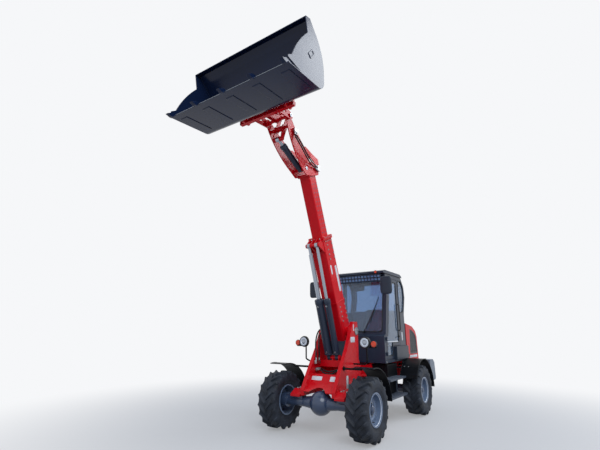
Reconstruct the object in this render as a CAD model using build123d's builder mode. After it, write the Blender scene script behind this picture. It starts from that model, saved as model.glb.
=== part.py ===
from build123d import *
from math import cos, pi, radians, sin
import os

# Articulated telescopic wheel loader, in millimetres.
# The front looks along -Y, +X is the machine's left side and +Z is up.
# The origin is on the ground, on the axis of the steering pivot.
# The boom stands raised and extended, with the bucket level.

# Wheels and axles
wheelbase = 2200
track = 1483
tyre_diameter = 840
tyre_width = 320
tread_depth = 30
lug_pitches = 18
lug_slant = 10
rim_diameter = 441
wheel_disc_offset = 40
axle_tube_radius = 72
differential_radius = 170
hub_radius = 105
axle_pad_top = 500
wheel_gap = 0.5

# Mudguards and rear frame rails
mudguard_radius = 537
mudguard_wall = 10
rear_rail = (260, 290)

# Steering pivot
pivot_pin_radius = 35
pivot_low = 470
pivot_high = 760
pivot_plate = 30
pin_play = 0.5

# Front tower
tower_half_width = 300
tower_wall = 60
boom_pivot = (-450, 1450)
boom_pin_radius = 30
boss_reach = tower_half_width - tower_wall - 1
cylinder_pin = (-695, 1044)
apron_arch_radius = 215

# Boom, in its own coordinates: s runs from the pivot to the head, t towards its top side
boom_elevation = 68.5
outer_boom_size = (130, 145)
outer_wall = 10
outer_tail = -110
outer_end = 1640
boom_axis_t = -12
boom_corner = 14
inner_boom_size = (96, 105)
inner_wall = 8
inner_tail = 1050
inner_end = 2690
slide_clearance = 0.5
wear_block = 60
lug_pin = (1538, -289)
pin_radius = 25

# Lift and levelling cylinders: x, barrel radius, rod radius
lift_cylinder = (-72, 70, 35)
level_cylinder = (72, 50, 25)
gland_distance = 950
piston_reserve = 110
cylinder_eye_half = 26
lug_plate = 19
eye_play = 0.5
lift_neck = 140

# Head, coupler and bucket, in the side view (y, z)
coupler_pin = (-2253, 4572)
head_plate = 15
head_base = 2651
head_half_width = 118
rocker_pivot_offset = (67, -124)
rocker_joint_offset = (157, 178)
rocker_eye_offset = (14, -326)
coupler_joint_offset = (-85, 76)
tilt_base_offset = (611, -606)
tilt_barrel_radius = 50
tilt_rod_radius = 25
tilt_gland = 535
tilt_reserve = 290
tilt_eye_half = 30
tilt_neck = 90
rocker_x = (66, 82)
link_x = (42, 58)
link_pin_radius = 18
coupler_ear_x = 212
bucket_half_width = 1038
bucket_plate = 10
bucket_end_plate = 12
tooth_count = 5

# Cab and hood
cab_half_width = 570
cab_wall = 40
chassis_top = 925
rail_top = 905
engine_low = 740
cab_floor = chassis_top
cab_roof_low = 2470
cab_roof_high = 2530
door_gap = 8
door_rim = 50
door_hinge = (cab_half_width + 14, 148)
glass = 6
hood_half_width = 575
hood_wall = 6
hood_hinge = (1150, 1585)

axle_height = tyre_diameter / 2
front_axle_y = -wheelbase / 2
rear_axle_y = wheelbase / 2
os.makedirs("parts", exist_ok=True)


def outline_face(plane, outline):
    """A closed outline of straight lines, as a face on a plane."""
    with BuildSketch(plane) as face:
        with BuildLine():
            Polyline(*outline, close=True)
        make_face()
    return face.sketch


def inset_face(outline, amount):
    """An outline's face drawn in by an amount, with sharp corners."""
    whole = outline_face(Plane.XY, outline)
    return offset(whole, amount=-amount, kind=Kind.INTERSECTION, mode=Mode.PRIVATE) if amount else whole


def side_plate(outline, x_low, x_high, mode=Mode.ADD):
    """A plate cut to an outline in the side view (y, z), from x_low to x_high."""
    extrude(outline_face(Plane.YZ.offset(x_low), outline), amount=x_high - x_low, mode=mode)


def block(low, high, mode=Mode.ADD):
    """A block between two corners."""
    size = [b - a for a, b in zip(low, high)]
    centre = tuple((a + b) / 2 for a, b in zip(low, high))
    with Locations(centre):
        Box(*size, mode=mode)


def bar(start, end, radius, mode=Mode.ADD):
    """A round bar from one point to another."""
    along = Vector(*end) - Vector(*start)
    with BuildSketch(Plane(origin=start, z_dir=along)) as section:
        Circle(radius)
    extrude(section.sketch, amount=along.length, mode=mode)


def cross_pin(centre, x_low, x_high, radius, mode=Mode.ADD):
    """A round pin along X through a point of the side view."""
    bar((x_low, *centre), (x_high, *centre), radius, mode)


def tube(points, bend_radius, radius, mode=Mode.ADD):
    """A round bar along straight runs joined by arcs."""
    with BuildLine() as route:
        FilletPolyline(*points, radius=bend_radius)
    start = Vector(*points[0])
    with BuildSketch(Plane(origin=start, z_dir=Vector(*points[1]) - start)) as section:
        Circle(radius)
    sweep(section.sketch, path=route.wire(), mode=mode)


def sides(x_low, x_high):
    """The x range of a piece on the left side and its mirror image on the right."""
    return ((x_low, x_high), (-x_high, -x_low))


def beside(point, offset):
    return (point[0] + offset[0], point[1] + offset[1])


def finish(piece, name):
    piece.part.label = name
    export_step(piece.part, f"parts/{name}.step")


outer_boom_opening = (outer_boom_size[0] - outer_wall, outer_boom_size[1] - outer_wall)
boom_direction = (-cos(radians(boom_elevation)), sin(radians(boom_elevation)))
boom_plane = Plane(
    origin=(0, *boom_pivot), x_dir=(0, *boom_direction), z_dir=(-1, 0, 0)
)


def on_boom(s, t):
    """The side view point (y, z) of a place along and across the boom."""
    return (
        boom_pivot[0] + s * boom_direction[0] + t * boom_direction[1],
        boom_pivot[1] + s * boom_direction[1] - t * boom_direction[0],
    )


def boom_tube(s_low, s_high, outside, opening):
    """A box section along the boom, given by the half width and half height of its outside and opening."""
    section_plane = Plane(
        origin=boom_plane.from_local_coords((s_low, boom_axis_t, 0)),
        x_dir=(1, 0, 0),
        z_dir=(0, *boom_direction),
    )
    with BuildSketch(section_plane) as section:
        RectangleRounded(2 * outside[0], 2 * outside[1], boom_corner)
        Rectangle(2 * opening[0], 2 * opening[1], mode=Mode.SUBTRACT)
    extrude(section.sketch, amount=s_high - s_low)


# Tyres: a faceted ring with lugs in a chevron, those of one side half a pitch behind the other's.
# Each row is a place across the tyre: x, radius of the gaps, radius of the lugs.
half = tyre_width / 2
tread = tyre_diameter / 2
bead = rim_diameter / 2 - 8
pitch = 360 / lug_pitches
lug_flank = pitch / 10
lug_marks = (0, lug_flank, pitch / 2, pitch / 2 + lug_flank)
plain_marks = (lug_flank / 2, pitch / 2 + lug_flank / 2)
bead_corner = bead / cos(pi / (2 * lug_pitches))
tyre_rows = (
    (half - 146, tread - tread_depth, tread),
    (half - 40, tread - tread_depth, tread),
    (half - 4, tread - 56, None),
    (half, bead + 88, None),
    (half - 35, bead + 12, None),
    (half - 35, bead_corner, None),
)


def tyre_row(x, low, high, side, slant):
    """The marks round one row, in degrees within the pattern, and their points."""
    marks, points = [], []
    for index in range(lug_pitches):
        for order, mark in enumerate(lug_marks if high else plain_marks):
            raised = high and (order in (1, 2)) == (side > 0)
            radius = high if raised else low
            turn = radians(index * pitch + mark - slant - 90 - lug_flank)
            marks.append(index * pitch + mark)
            points.append((side * x, radius * cos(turn), radius * sin(turn)))
    return marks, points


def tyre_band(first, second):
    """Flat faces between two rows, one for each step of their marks."""
    (marks_a, points_a), (marks_b, points_b) = first, second
    faces, a, b = [], 0, 0
    while a < len(marks_a) or b < len(marks_b):
        next_a = (marks_a + [marks_a[0] + 360])[a + 1] if a < len(marks_a) else 999
        next_b = (marks_b + [marks_b[0] + 360])[b + 1] if b < len(marks_b) else 999
        here, there = points_a[a % len(points_a)], points_b[b % len(points_b)]
        if next_a <= next_b:
            faces.append((here, points_a[(a + 1) % len(points_a)], there))
            a += 1
        else:
            faces.append((here, points_b[(b + 1) % len(points_b)], there))
            b += 1
    return faces


tyre_faces = []
centre_row = tyre_row(0, tread - tread_depth, None, 1, 0)
bead_rows = []
for side in (1, -1):
    rows = [centre_row]
    for index, (x, low, high) in enumerate(tyre_rows):
        rows.append(tyre_row(x, low, high, side, lug_slant if index else 0))
    for first, second in zip(rows, rows[1:]):
        tyre_faces += tyre_band(first, second)
    bead_rows.append(rows[-1])
tyre_faces += tyre_band(*bead_rows)
tyre_solid = Solid(Shell([Face(Wire.make_polygon(corners)) for corners in tyre_faces]))

# Tyres and rims, one pair on each axle
for axle, axle_y in (("front", front_axle_y), ("rear", rear_axle_y)):
    for side_name, side in (("left", 1), ("right", -1)):
        with BuildPart() as tyre:
            with Locations((side * track / 2, axle_y, axle_height)):
                add(tyre_solid)
        finish(tyre, f"tyre_{axle}_{side_name}")

        wheel_plane = Plane(
            origin=(side * track / 2, axle_y, axle_height), x_dir=(side, 0, 0), z_dir=(0, -side, 0)
        )
        spin_axis = Axis((0, axle_y, axle_height), (1, 0, 0))
        flange = rim_diameter / 2
        barrel = bead - 0.3
        disc = wheel_disc_offset
        with BuildPart() as rim:
            with BuildSketch(wheel_plane):
                with BuildLine():
                    Polyline(
                        (-half + 24, flange), (-half + 34.7, flange), (-half + 34.7, barrel),
                        (half - 34.7, barrel), (half - 34.7, flange), (half - 24, flange),
                        (half - 24, barrel - 12), (disc + 14, barrel - 22), (disc + 30, 130),
                        (disc + 12, 105), (disc + 12, 62), (disc, 62), (disc, 112), (disc + 18, 130),
                        (disc, barrel - 12), (-half + 24, barrel - 12), close=True,
                    )
                make_face()
            revolve(axis=spin_axis)
        finish(rim, f"rim_{axle}_{side_name}")

# Axles: a round differential case in the middle, tapered tubes and flanged hubs
for axle, axle_y, pad_low, pad_high in (("front", front_axle_y, 300, 460), ("rear", rear_axle_y, 200, 300)):
    hub_face = track / 2 + wheel_disc_offset - wheel_gap
    with BuildPart() as axle_housing:
        with Locations((0, axle_y, axle_height)):
            Sphere(differential_radius)
        for side in (-1, 1):
            with BuildSketch(Plane(origin=(0, axle_y, axle_height), z_dir=(side, 0, 0))) as inner:
                Circle(axle_tube_radius * 1.5)
            with BuildSketch(Plane(origin=(side * 290, axle_y, axle_height), z_dir=(side, 0, 0))) as outer:
                Circle(axle_tube_radius)
            loft([inner.sketch.face(), outer.sketch.face()])
            bar((side * 290, axle_y, axle_height), (side * 590, axle_y, axle_height), axle_tube_radius)
            bar((side * 590, axle_y, axle_height), (side * hub_face, axle_y, axle_height), hub_radius)
            bar((side * hub_face, axle_y, axle_height), (side * (hub_face + 45), axle_y, axle_height), 58)
        for x_low, x_high in sides(pad_low, pad_high):
            block((x_low, axle_y - 60, axle_height), (x_high, axle_y + 60, axle_pad_top))
    finish(axle_housing, f"{axle}_axle")

# Front frame: twin tower plates, cross beams, the sloping apron and the steering clevis
tower_outline = [
    (-1203, 594), (-1055, 818), (-783, 1182), (-552, 1598), (-400, 1600), (-385, 1350),
    (-395, 1000), (-330, 900), (-330, 600), (-700, 520), (-1203, 520),
]
apron_outline = [(-950, 810), (-1031, 689), (-1213, 583), (-1203, 571), (-1021, 679), (-940, 802)]
base_lug_outline = [(-728, 990), (-728, 1060), (-715, 1080), (-675, 1080), (-655, 1060), (-655, 990)]
with BuildPart() as front_tower:
    for x_low, x_high in sides(tower_half_width - tower_wall, tower_half_width):
        side_plate(tower_outline, x_low, x_high)
    inner = tower_half_width - tower_wall
    side_plate(apron_outline, -inner, inner)
    side_plate([(-950, 810), (-930, 810), (-930, 600), (-950, 600)], -inner, inner)
    side_plate([(-728, 900), (-728, 1000), (-600, 1000), (-600, 900)], -inner, inner)
    for x_low, x_high in ((-119, -99), (-10, 10), (99, 119)):
        side_plate(base_lug_outline, x_low, x_high)
    cross_pin(cylinder_pin, -135, 135, pin_radius)
    side_plate([(-560, 600), (-560, 900), (-330, 900), (-330, 600)], -inner, inner)
    cross_pin(boom_pivot, -inner, inner, boom_pin_radius)
    for z in (pivot_low, pivot_high - pivot_plate):
        with BuildSketch(Plane.XY.offset(z)) as clevis:
            with BuildLine():
                Polyline((-160, -331), (160, -331), (95, 0), (-95, 0), close=True)
            make_face()
            Circle(95)
        extrude(clevis.sketch, amount=pivot_plate)
        bar((0, 0, z), (0, 0, z + pivot_plate), pivot_pin_radius, Mode.SUBTRACT)
    block((-160, -350, pivot_low), (160, -330, pivot_high))
    for x_low, x_high in sides(tower_half_width, tower_half_width + 160):
        side_plate([
            (-1240, axle_pad_top), (-1240, 530), (-1120, 600), (-980, 600), (-960, 530), (-960, axle_pad_top),
        ], x_low, x_high)
    bar((0, -1300, axle_height), (0, -945, axle_height), apron_arch_radius, Mode.SUBTRACT)
finish(front_tower, "front_tower")

# Pivot pin of the steering joint, carried by the rear frame
with BuildPart() as pivot_pin:
    bar((0, 0, pivot_low - 20), (0, 0, pivot_high + 20), pivot_pin_radius - pin_play)
    for z in (pivot_low - 20, pivot_high + 0.5):
        bar((0, 0, z), (0, 0, z + 19.5), pivot_pin_radius + 15)
finish(pivot_pin, "steering_pin")

# Front mudguards: curved plastic shells behind the front wheels
for name, axle_y, angle_low, angle_high, arm_angles, frame_side in (
    ("front_mudguards", front_axle_y, 4, 100, (20, 70), tower_half_width),
    ("rear_mudguards", rear_axle_y, 0, 155, (50, 130), rear_rail[1]),
):
    with BuildPart() as mudguards:
        for x_low, x_high in sides(590, 900):
            mid = radians((angle_low + angle_high) / 2)
            low, high = radians(angle_low), radians(angle_high)
            with BuildSketch(Plane.YZ.offset(x_low)) as arch:
                with BuildLine():
                    outer, inner = mudguard_radius, mudguard_radius - mudguard_wall
                    points = [
                        [(axle_y + r * cos(a), axle_height + r * sin(a)) for a in (low, mid, high)]
                        for r in (outer, inner)
                    ]
                    ThreePointArc(*points[0])
                    Line(points[0][2], points[1][2])
                    ThreePointArc(*reversed(points[1]))
                    Line(points[1][0], points[0][0])
                make_face()
            extrude(arch.sketch, amount=x_high - x_low)
            arm_start, arm_end = (frame_side, 600) if x_low > 0 else (-600, -frame_side)
            for angle in arm_angles:
                reach = inner - 10
                place = (axle_y + reach * cos(radians(angle)), axle_height + reach * sin(radians(angle)))
                bar((arm_start, *place), (arm_end, *place), 15)
    finish(mudguards, name)

# Headlamps on curved stalks, with round indicators outboard
lamp_place = (563, -694, 1279)
with BuildPart() as lamp_stalks:
    for side in (-1, 1):
        path = [
            (side * tower_half_width, -580, 951), (side * 500, -580, 951),
            (side * lamp_place[0], -640, 1000), (side * lamp_place[0], lamp_place[1] + 54, 1260),
        ]
        tube(path, 30, 12)
        block((side * 640 - 95, lamp_place[1] + 36, 1200), (side * 640 + 95, lamp_place[1] + 44, 1275))
finish(lamp_stalks, "lamp_stalks")

with BuildPart() as headlamps:
    for side in (-1, 1):
        centre = (side * lamp_place[0], lamp_place[1], lamp_place[2])
        with BuildSketch(Plane(origin=centre, x_dir=(1, 0, 0), z_dir=(0, 0, 1))) as bowl:
            with BuildLine():
                Polyline((0, -24), (70, -22), (86, -14), (90, -4), (90, 14), (60, 36), (0, 36), close=True)
            make_face()
        revolve(bowl.sketch, axis=Axis(centre, (0, 1, 0)))
finish(headlamps, "headlamps")

with BuildPart() as indicators:
    for side in (-1, 1):
        centre = (side * 700, lamp_place[1] + 6, lamp_place[2] - 22)
        with BuildSketch(Plane(origin=centre, x_dir=(1, 0, 0), z_dir=(0, 0, 1))) as lens:
            with BuildLine():
                Polyline((0, -16), (38, -12), (45, 0), (45, 30), (0, 30), close=True)
            make_face()
        revolve(lens.sketch, axis=Axis(centre, (0, 1, 0)))
finish(indicators, "indicators")

# Rear frame: two long plates, cross members and the nested half of the steering clevis
rear_outline = [
    (110, 500), (110, chassis_top), (1250, chassis_top), (1300, rail_top), (1900, rail_top), (1900, 620),
    (1350, 600), (1300, axle_pad_top), (900, axle_pad_top), (700, 470), (300, 470),
]
with BuildPart() as rear_chassis:
    for x_low, x_high in sides(*rear_rail):
        side_plate(rear_outline, x_low, x_high)
    for y, top in ((110, 890), (640, 890), (1200, engine_low), (1560, engine_low), (1870, 890)):
        block((-rear_rail[0], y, 640), (rear_rail[0], y + 30, top))
    for z in (pivot_low + pivot_plate + 0.5, pivot_high - 2 * pivot_plate - 0.5):
        with BuildSketch(Plane.XY.offset(z)) as clevis:
            with BuildLine():
                Polyline((-260, 140), (260, 140), (95, 0), (-95, 0), close=True)
            make_face()
            Circle(95)
        extrude(clevis.sketch, amount=pivot_plate)
        bar((0, 0, z), (0, 0, z + pivot_plate), pivot_pin_radius - pin_play, Mode.SUBTRACT)
    side_plate([(110, 500), (140, 500), (140, 890), (110, 890)], -rear_rail[0], rear_rail[0])
finish(rear_chassis, "rear_chassis")

with BuildPart() as engine_block:
    block((-230, 1150, engine_low), (230, 1640, 1330))
finish(engine_block, "engine_block")

with BuildPart() as counterweight:
    with BuildSketch(Plane.YZ.offset(-850)) as section:
        with BuildLine():
            Polyline(
                (1640, 520), (1640, rail_top), (1850, rail_top), (1940, 840), (1960, 560), (1925, 520), close=True
            )
        make_face()
    extrude(section.sketch, amount=1700)
    block((-rear_rail[1], 1600, 500), (rear_rail[1], 1900, 920), Mode.SUBTRACT)
finish(counterweight, "counterweight")

# Tow jaw behind the counterweight, with its pin hole
tow_pin_place = (0, 2010)
with BuildPart() as tow_hitch:
    block((-60, 1960, 570), (60, 2060, 690))
    block((-61, 1985, 600), (61, 2061, 660), Mode.SUBTRACT)
    bar((*tow_pin_place, 569), (*tow_pin_place, 691), 16, Mode.SUBTRACT)
finish(tow_hitch, "tow_hitch")

# Steps and tanks between the wheels
tank_x = (rear_rail[1], 560)
step_front = -180
with BuildPart() as side_tanks:
    for x_low, x_high in sides(*tank_x):
        side_plate([(150, 420), (150, 900), (600, 900), (600, 480), (540, 420)], x_low, x_high)
finish(side_tanks, "side_tanks")

with BuildPart() as steps:
    for x_low, x_high in sides(tank_x[1], tank_x[1] + 180):
        for z, y_end in ((430, 560), (700, 540)):
            block((x_low, step_front, z - 30), (x_high, y_end, z))
        for y in (160, 500):
            side = 1 if x_low > 0 else -1
            edges = sorted((side * tank_x[1], side * (tank_x[1] + 12)))
            block((edges[0], y, 405), (edges[1], y + 40, 700))
finish(steps, "side_steps")

# Cab: a hollow shell in one side profile, with its windows cut
cab_rear = 1131
door_hinge_heights = (1040, 1290)
hood_hinge_places = (-430, 370)
cab_profile = [
    (75, cab_floor), (75, 1365), (150, 1400), (290, 2080), (262, cab_roof_low), (1070, cab_roof_low),
    (1211, 2301), (1239, 2098), (cab_rear, 1762), (cab_rear, cab_floor),
]
window_low, window_high = 1440, 2400
front_pane = cab_half_width - 70
rear_pane = cab_half_width - 90
door_outline = [
    (150, 975), (150, 1390), (215, 1430), (350, 2080), (335, window_high), (830, window_high),
    (830, 1195), (510, 1195), (510, 975),
]
side_window = [(235, window_low), (360, 2080), (345, window_high), (790, window_high), (790, window_low)]
quarter_window = [
    (885, 1800), (885, window_high), (1060, window_high), (1160, 2280), (1180, 2100), (1085, 1800),
]


def profile_shell(outer_inset, inner_inset, half_width):
    """A strip along the cab's profile, between two insets."""
    with BuildSketch(Plane.YZ.offset(-half_width)) as strip:
        for inset, mode in ((outer_inset, Mode.ADD), (inner_inset, Mode.SUBTRACT)):
            add(inset_face(cab_profile, inset), mode=mode)
    extrude(strip.sketch, amount=2 * half_width)


with BuildPart() as cab_frame:
    side_plate(cab_profile, -cab_half_width, cab_half_width)
    with BuildSketch(Plane.YZ.offset(-cab_half_width + cab_wall)) as room:
        add(inset_face(cab_profile, cab_wall))
    extrude(room.sketch, amount=2 * (cab_half_width - cab_wall), mode=Mode.SUBTRACT)
    block((-front_pane, 0, window_low), (front_pane, 420, window_high), Mode.SUBTRACT)
    block((-rear_pane, 1000, 1830), (rear_pane, 1300, 2380), Mode.SUBTRACT)
    side_plate(side_window, -cab_half_width - 1, 0, Mode.SUBTRACT)
    side_plate(door_outline, 0, cab_half_width + 1, Mode.SUBTRACT)
    side_plate(quarter_window, -cab_half_width - 1, cab_half_width + 1, Mode.SUBTRACT)
    for z in door_hinge_heights:
        bar((*door_hinge, z), (*door_hinge, z + 60), 5)
        for low, high in ((z, z + 19), (z + 41, z + 60)):
            block((cab_half_width, 105, low), (cab_half_width + 4, door_hinge[1] - 2, high))
            bar((*door_hinge, low), (*door_hinge, high), 12)
    for x in hood_hinge_places:
        block((x, cab_rear, hood_hinge[1] - 9), (x + 20, hood_hinge[0], hood_hinge[1] + 9))
        cross_pin(hood_hinge, x, x + 20, 9)
        cross_pin(hood_hinge, x, x + 60, 8)
finish(cab_frame, "cab_frame")

with BuildPart() as cab_side_box:
    block((cab_half_width, 510, 962), (cab_half_width + 50, 1120, 1185))
finish(cab_side_box, "cab_side_box")

with BuildPart() as cab_roof:
    side_plate([
        (150, cab_roof_low), (150, 2505), (240, cab_roof_high),
        (1000, cab_roof_high), (1090, 2500), (1090, cab_roof_low),
    ], -cab_half_width - 15, cab_half_width + 15)
finish(cab_roof, "cab_roof")

with BuildPart() as cab_glass:
    profile_shell(12, 12 + glass, front_pane)
    block((-front_pane, 0, window_low), (front_pane, 420, window_high), Mode.INTERSECT)
finish(cab_glass, "windscreen")
with BuildPart() as cab_glass:
    profile_shell(12, 12 + glass, rear_pane)
    block((-rear_pane, 1000, 1830), (rear_pane, 1300, 2380), Mode.INTERSECT)
finish(cab_glass, "rear_window")
with BuildPart() as cab_glass:
    side_plate(side_window, -cab_half_width + 10, -cab_half_width + 10 + glass)
    side_plate(quarter_window, -cab_half_width + 10, -cab_half_width + 10 + glass)
    side_plate(quarter_window, cab_half_width - 10 - glass, cab_half_width - 10)
finish(cab_glass, "side_windows")

with BuildPart() as door_frame:
    with BuildSketch(Plane.YZ.offset(cab_half_width - cab_wall)) as ring:
        add(inset_face(door_outline, door_gap))
        add(inset_face(door_outline, door_gap + door_rim), mode=Mode.SUBTRACT)
    extrude(ring.sketch, amount=cab_wall)
    for z in door_hinge_heights:
        block((cab_half_width, door_hinge[1] + 2, z + 20), (cab_half_width + 4, 205, z + 40))
        bar((*door_hinge, z + 20), (*door_hinge, z + 40), 12)
        bar((*door_hinge, z + 19), (*door_hinge, z + 41), 5.4, Mode.SUBTRACT)
finish(door_frame, "door_frame")
with BuildPart() as door_glass:
    with BuildSketch(Plane.YZ.offset(cab_half_width - 10 - glass)) as pane:
        add(inset_face(door_outline, door_gap + door_rim))
    extrude(pane.sketch, amount=glass)
finish(door_glass, "door_glass")

# Seat, steering column and mirrors
with BuildPart() as seat_base:
    block((-220, 520, cab_floor + cab_wall), (220, 1000, 1220))
finish(seat_base, "seat_base")
seat_outline = [(480, 1220.3), (480, 1320), (900, 1330), (1000, 1900), (1080, 1890), (1000, 1220.3)]
with BuildPart() as seat:
    side_plate(seat_outline, -240, 240)
finish(seat, "seat_cushion")
with BuildPart() as column:
    block((-60, 215, cab_floor + cab_wall), (60, 305, cab_floor + cab_wall + 20))
    bar((0, 260, cab_floor + cab_wall + 14), (0, 420, 1400), 30)
    with BuildSketch(Plane(origin=(0, 420, 1400), z_dir=(0, 0.3, 0.95))) as disc:
        Circle(190)
        Circle(165, mode=Mode.SUBTRACT)
        for angle in (0, 60, 120):
            with Locations(Rotation(0, 0, angle)):
                Rectangle(350, 24)
    extrude(disc.sketch, amount=22)
finish(column, "steering_column")
mirror_x = cab_half_width + 170
mirror_bend_x = cab_half_width + 60
with BuildPart() as mirrors:
    for side in (-1, 1):
        block((side * mirror_x - 95, -110, 2060), (side * mirror_x + 95, -70, 2360))
        tube([
            (side * mirror_x, -72, 2330), (side * mirror_x, 100, 2330), (side * mirror_bend_x, 150, 2330),
            (side * mirror_bend_x, 300, 2330), (side * cab_half_width, 300, 2330),
        ], 25, 12)
finish(mirrors, "mirrors")

# Hood, hinged at its front top edge, with mesh grilles in its sides
hood_front = 1160
hood_low = rail_top + 0.5
hood_profile = [
    (hood_front, hood_low), (hood_front, 1594), (1544, 1537), (1720, 1450), (1790, 1340), (1820, hood_low),
]
grille_outline = [(1330, 1020), (1380, 1490), (1560, 1450), (1690, 1380), (1745, 1290), (1770, 1020)]
with BuildPart() as hood:
    side_plate(hood_profile, -hood_half_width, hood_half_width)
    with BuildSketch(Plane.YZ.offset(-hood_half_width + hood_wall)) as room:
        add(inset_face(hood_profile, hood_wall))
    extrude(room.sketch, amount=2 * (hood_half_width - hood_wall), mode=Mode.SUBTRACT)
    room_low = (-hood_half_width + hood_wall, hood_front - 1, hood_low - 1)
    room_high = hood_half_width - hood_wall
    block(room_low, (room_high, 1820 - hood_wall, hood_low + hood_wall), Mode.SUBTRACT)
    block(room_low, (room_high, hood_front + hood_wall, 1594 - hood_wall), Mode.SUBTRACT)
    side_plate(grille_outline, -600, 600, Mode.SUBTRACT)
    for x in hood_hinge_places:
        cross_pin(hood_hinge, x + 20.5, x + 60, 14)
        cross_pin(hood_hinge, x + 20, x + 61, 8.4, Mode.SUBTRACT)
finish(hood, "hood")
grille_rim = 22
slat_step = 42
with BuildPart() as hood_grilles:
    for x_low, x_high in sides(hood_half_width - hood_wall, hood_half_width):
        with BuildSketch(Plane.YZ.offset(x_low)) as grille:
            add(outline_face(Plane.XY, grille_outline))
            add(inset_face(grille_outline, grille_rim), mode=Mode.SUBTRACT)
        with BuildSketch(Plane.YZ.offset(x_low)) as slats:
            for index in range(11):
                with Locations((1550, 1045 + index * slat_step)):
                    Rectangle(500, 16)
            add(outline_face(Plane.XY, grille_outline), mode=Mode.INTERSECT)
        extrude(grille.sketch, amount=x_high - x_low)
        extrude(slats.sketch, amount=x_high - x_low)
finish(hood_grilles, "hood_grilles")


def grown(size, amount):
    return (size[0] + amount, size[1] + amount)


# Boom: a box tube on the pivot, with four lugs under its end for the cylinders
with BuildPart() as outer_boom:
    boom_tube(outer_tail, outer_end, outer_boom_size, outer_boom_opening)
    boom_tube(500, 530, grown(outer_boom_size, 8), outer_boom_opening)
    boom_tube(
        outer_end - wear_block, outer_end, grown(outer_boom_size, 14), grown(inner_boom_size, slide_clearance)
    )
    under = boom_axis_t - outer_boom_size[1] + 2
    lug_inner = level_cylinder[0] - cylinder_eye_half - eye_play
    lug_outer = level_cylinder[0] + cylinder_eye_half + eye_play
    for x in (-lug_outer - lug_plate, -lug_inner, lug_inner - lug_plate, lug_outer):
        with BuildSketch(boom_plane.offset(-x - lug_plate)) as lug:
            with BuildLine():
                Line((1380, under), (outer_end - 4, under))
                Line((outer_end - 4, under), (lug_pin[0] + 32, lug_pin[1]))
                ThreePointArc(
                    (lug_pin[0] + 32, lug_pin[1]), (lug_pin[0], lug_pin[1] - 32),
                    (lug_pin[0] - 32, lug_pin[1]),
                )
                Line((lug_pin[0] - 32, lug_pin[1]), (1380, under))
            make_face()
        extrude(lug.sketch, amount=lug_plate)
    lug_place = on_boom(*lug_pin)
    cross_pin(lug_place, lug_plate - lug_inner, lug_inner - lug_plate, pin_radius)
    for x_low, x_high in sides(lug_outer + lug_plate, lug_outer + lug_plate + 8):
        cross_pin(lug_place, x_low, x_high, pin_radius + 8)
    for side in (-1, 1):
        bar((side * (outer_boom_size[0] - 2), *boom_pivot), (side * boss_reach, *boom_pivot), 75)
    cross_pin(boom_pivot, -boss_reach - 1, boss_reach + 1, boom_pin_radius + pin_play, Mode.SUBTRACT)
finish(outer_boom, "outer_boom")

# Inner boom with wear clearance, and the twin curved plates of the head
with BuildPart() as inner_boom:
    boom_tube(inner_tail, inner_end, inner_boom_size, grown(inner_boom_size, -inner_wall))
    boom_tube(
        inner_tail, inner_tail + wear_block,
        grown(outer_boom_opening, -slide_clearance), grown(inner_boom_size, -inner_wall),
    )
finish(inner_boom, "inner_boom")

# The head: two bent plates that hug the boom and spread apart towards the coupler's pin
head_start = (-1500, 4000)
head_run = Vector(0, coupler_pin[0] - head_start[0], coupler_pin[1] - head_start[1])
head_plane = Plane(
    origin=(0, *head_start), x_dir=head_run, z_dir=head_run.cross(Vector(1, 0, 0))
)
head_bend = 150
head_spread = (head_half_width + 78, head_half_width + 92)
head_reach = head_run.length + 160
window_outline = [(-1615, 4234), (-1382, 4160), (-1548, 4117)]
with BuildPart() as boom_head:
    with BuildSketch(Plane.YZ.offset(-head_spread[1])) as plate:
        with BuildLine():
            ThreePointArc((-1620, 3850), (-1985, 4085), (-2306, 4540))
            ThreePointArc((-2306, 4540), (-2300, 4613), (-2212, 4619))
            ThreePointArc((-2212, 4619), (-1985, 4440), (-1715, 4290))
            Polyline(
                (-1715, 4290), (-1705, 4319), (-1283, 4255), (-1260, 4165), (-1278, 3973),
                (-1492, 3902), (-1620, 3850),
            )
        make_face()
        add(outline_face(Plane.XY, window_outline), mode=Mode.SUBTRACT)
    extrude(plate.sketch, amount=2 * head_spread[1])
    with BuildSketch(head_plane) as bends:
        for side in (-1, 1):
            with BuildLine():
                Polyline(*[(d, side * x) for d, x in (
                    (-400, head_half_width - head_plate), (head_bend, head_half_width - head_plate),
                    (head_reach, head_spread[1] - head_plate), (head_reach, head_spread[1]),
                    (head_bend, head_half_width), (-400, head_half_width),
                )], close=True)
            make_face()
    extrude(bends.sketch, amount=500, both=True, mode=Mode.INTERSECT)
    collar_size = grown(inner_boom_size, head_half_width - inner_boom_size[0])
    boom_tube(head_base, inner_end, collar_size, inner_boom_size)
    cross_pin(coupler_pin, -coupler_ear_x - 34, coupler_ear_x + 34, pin_radius)
    rocker_pin_half = head_half_width + 52
    cross_pin(beside(coupler_pin, rocker_pivot_offset), -rocker_pin_half, rocker_pin_half, pin_radius)
    cross_pin(beside(coupler_pin, tilt_base_offset), -head_half_width, head_half_width, pin_radius)
finish(boom_head, "boom_head")

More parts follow.
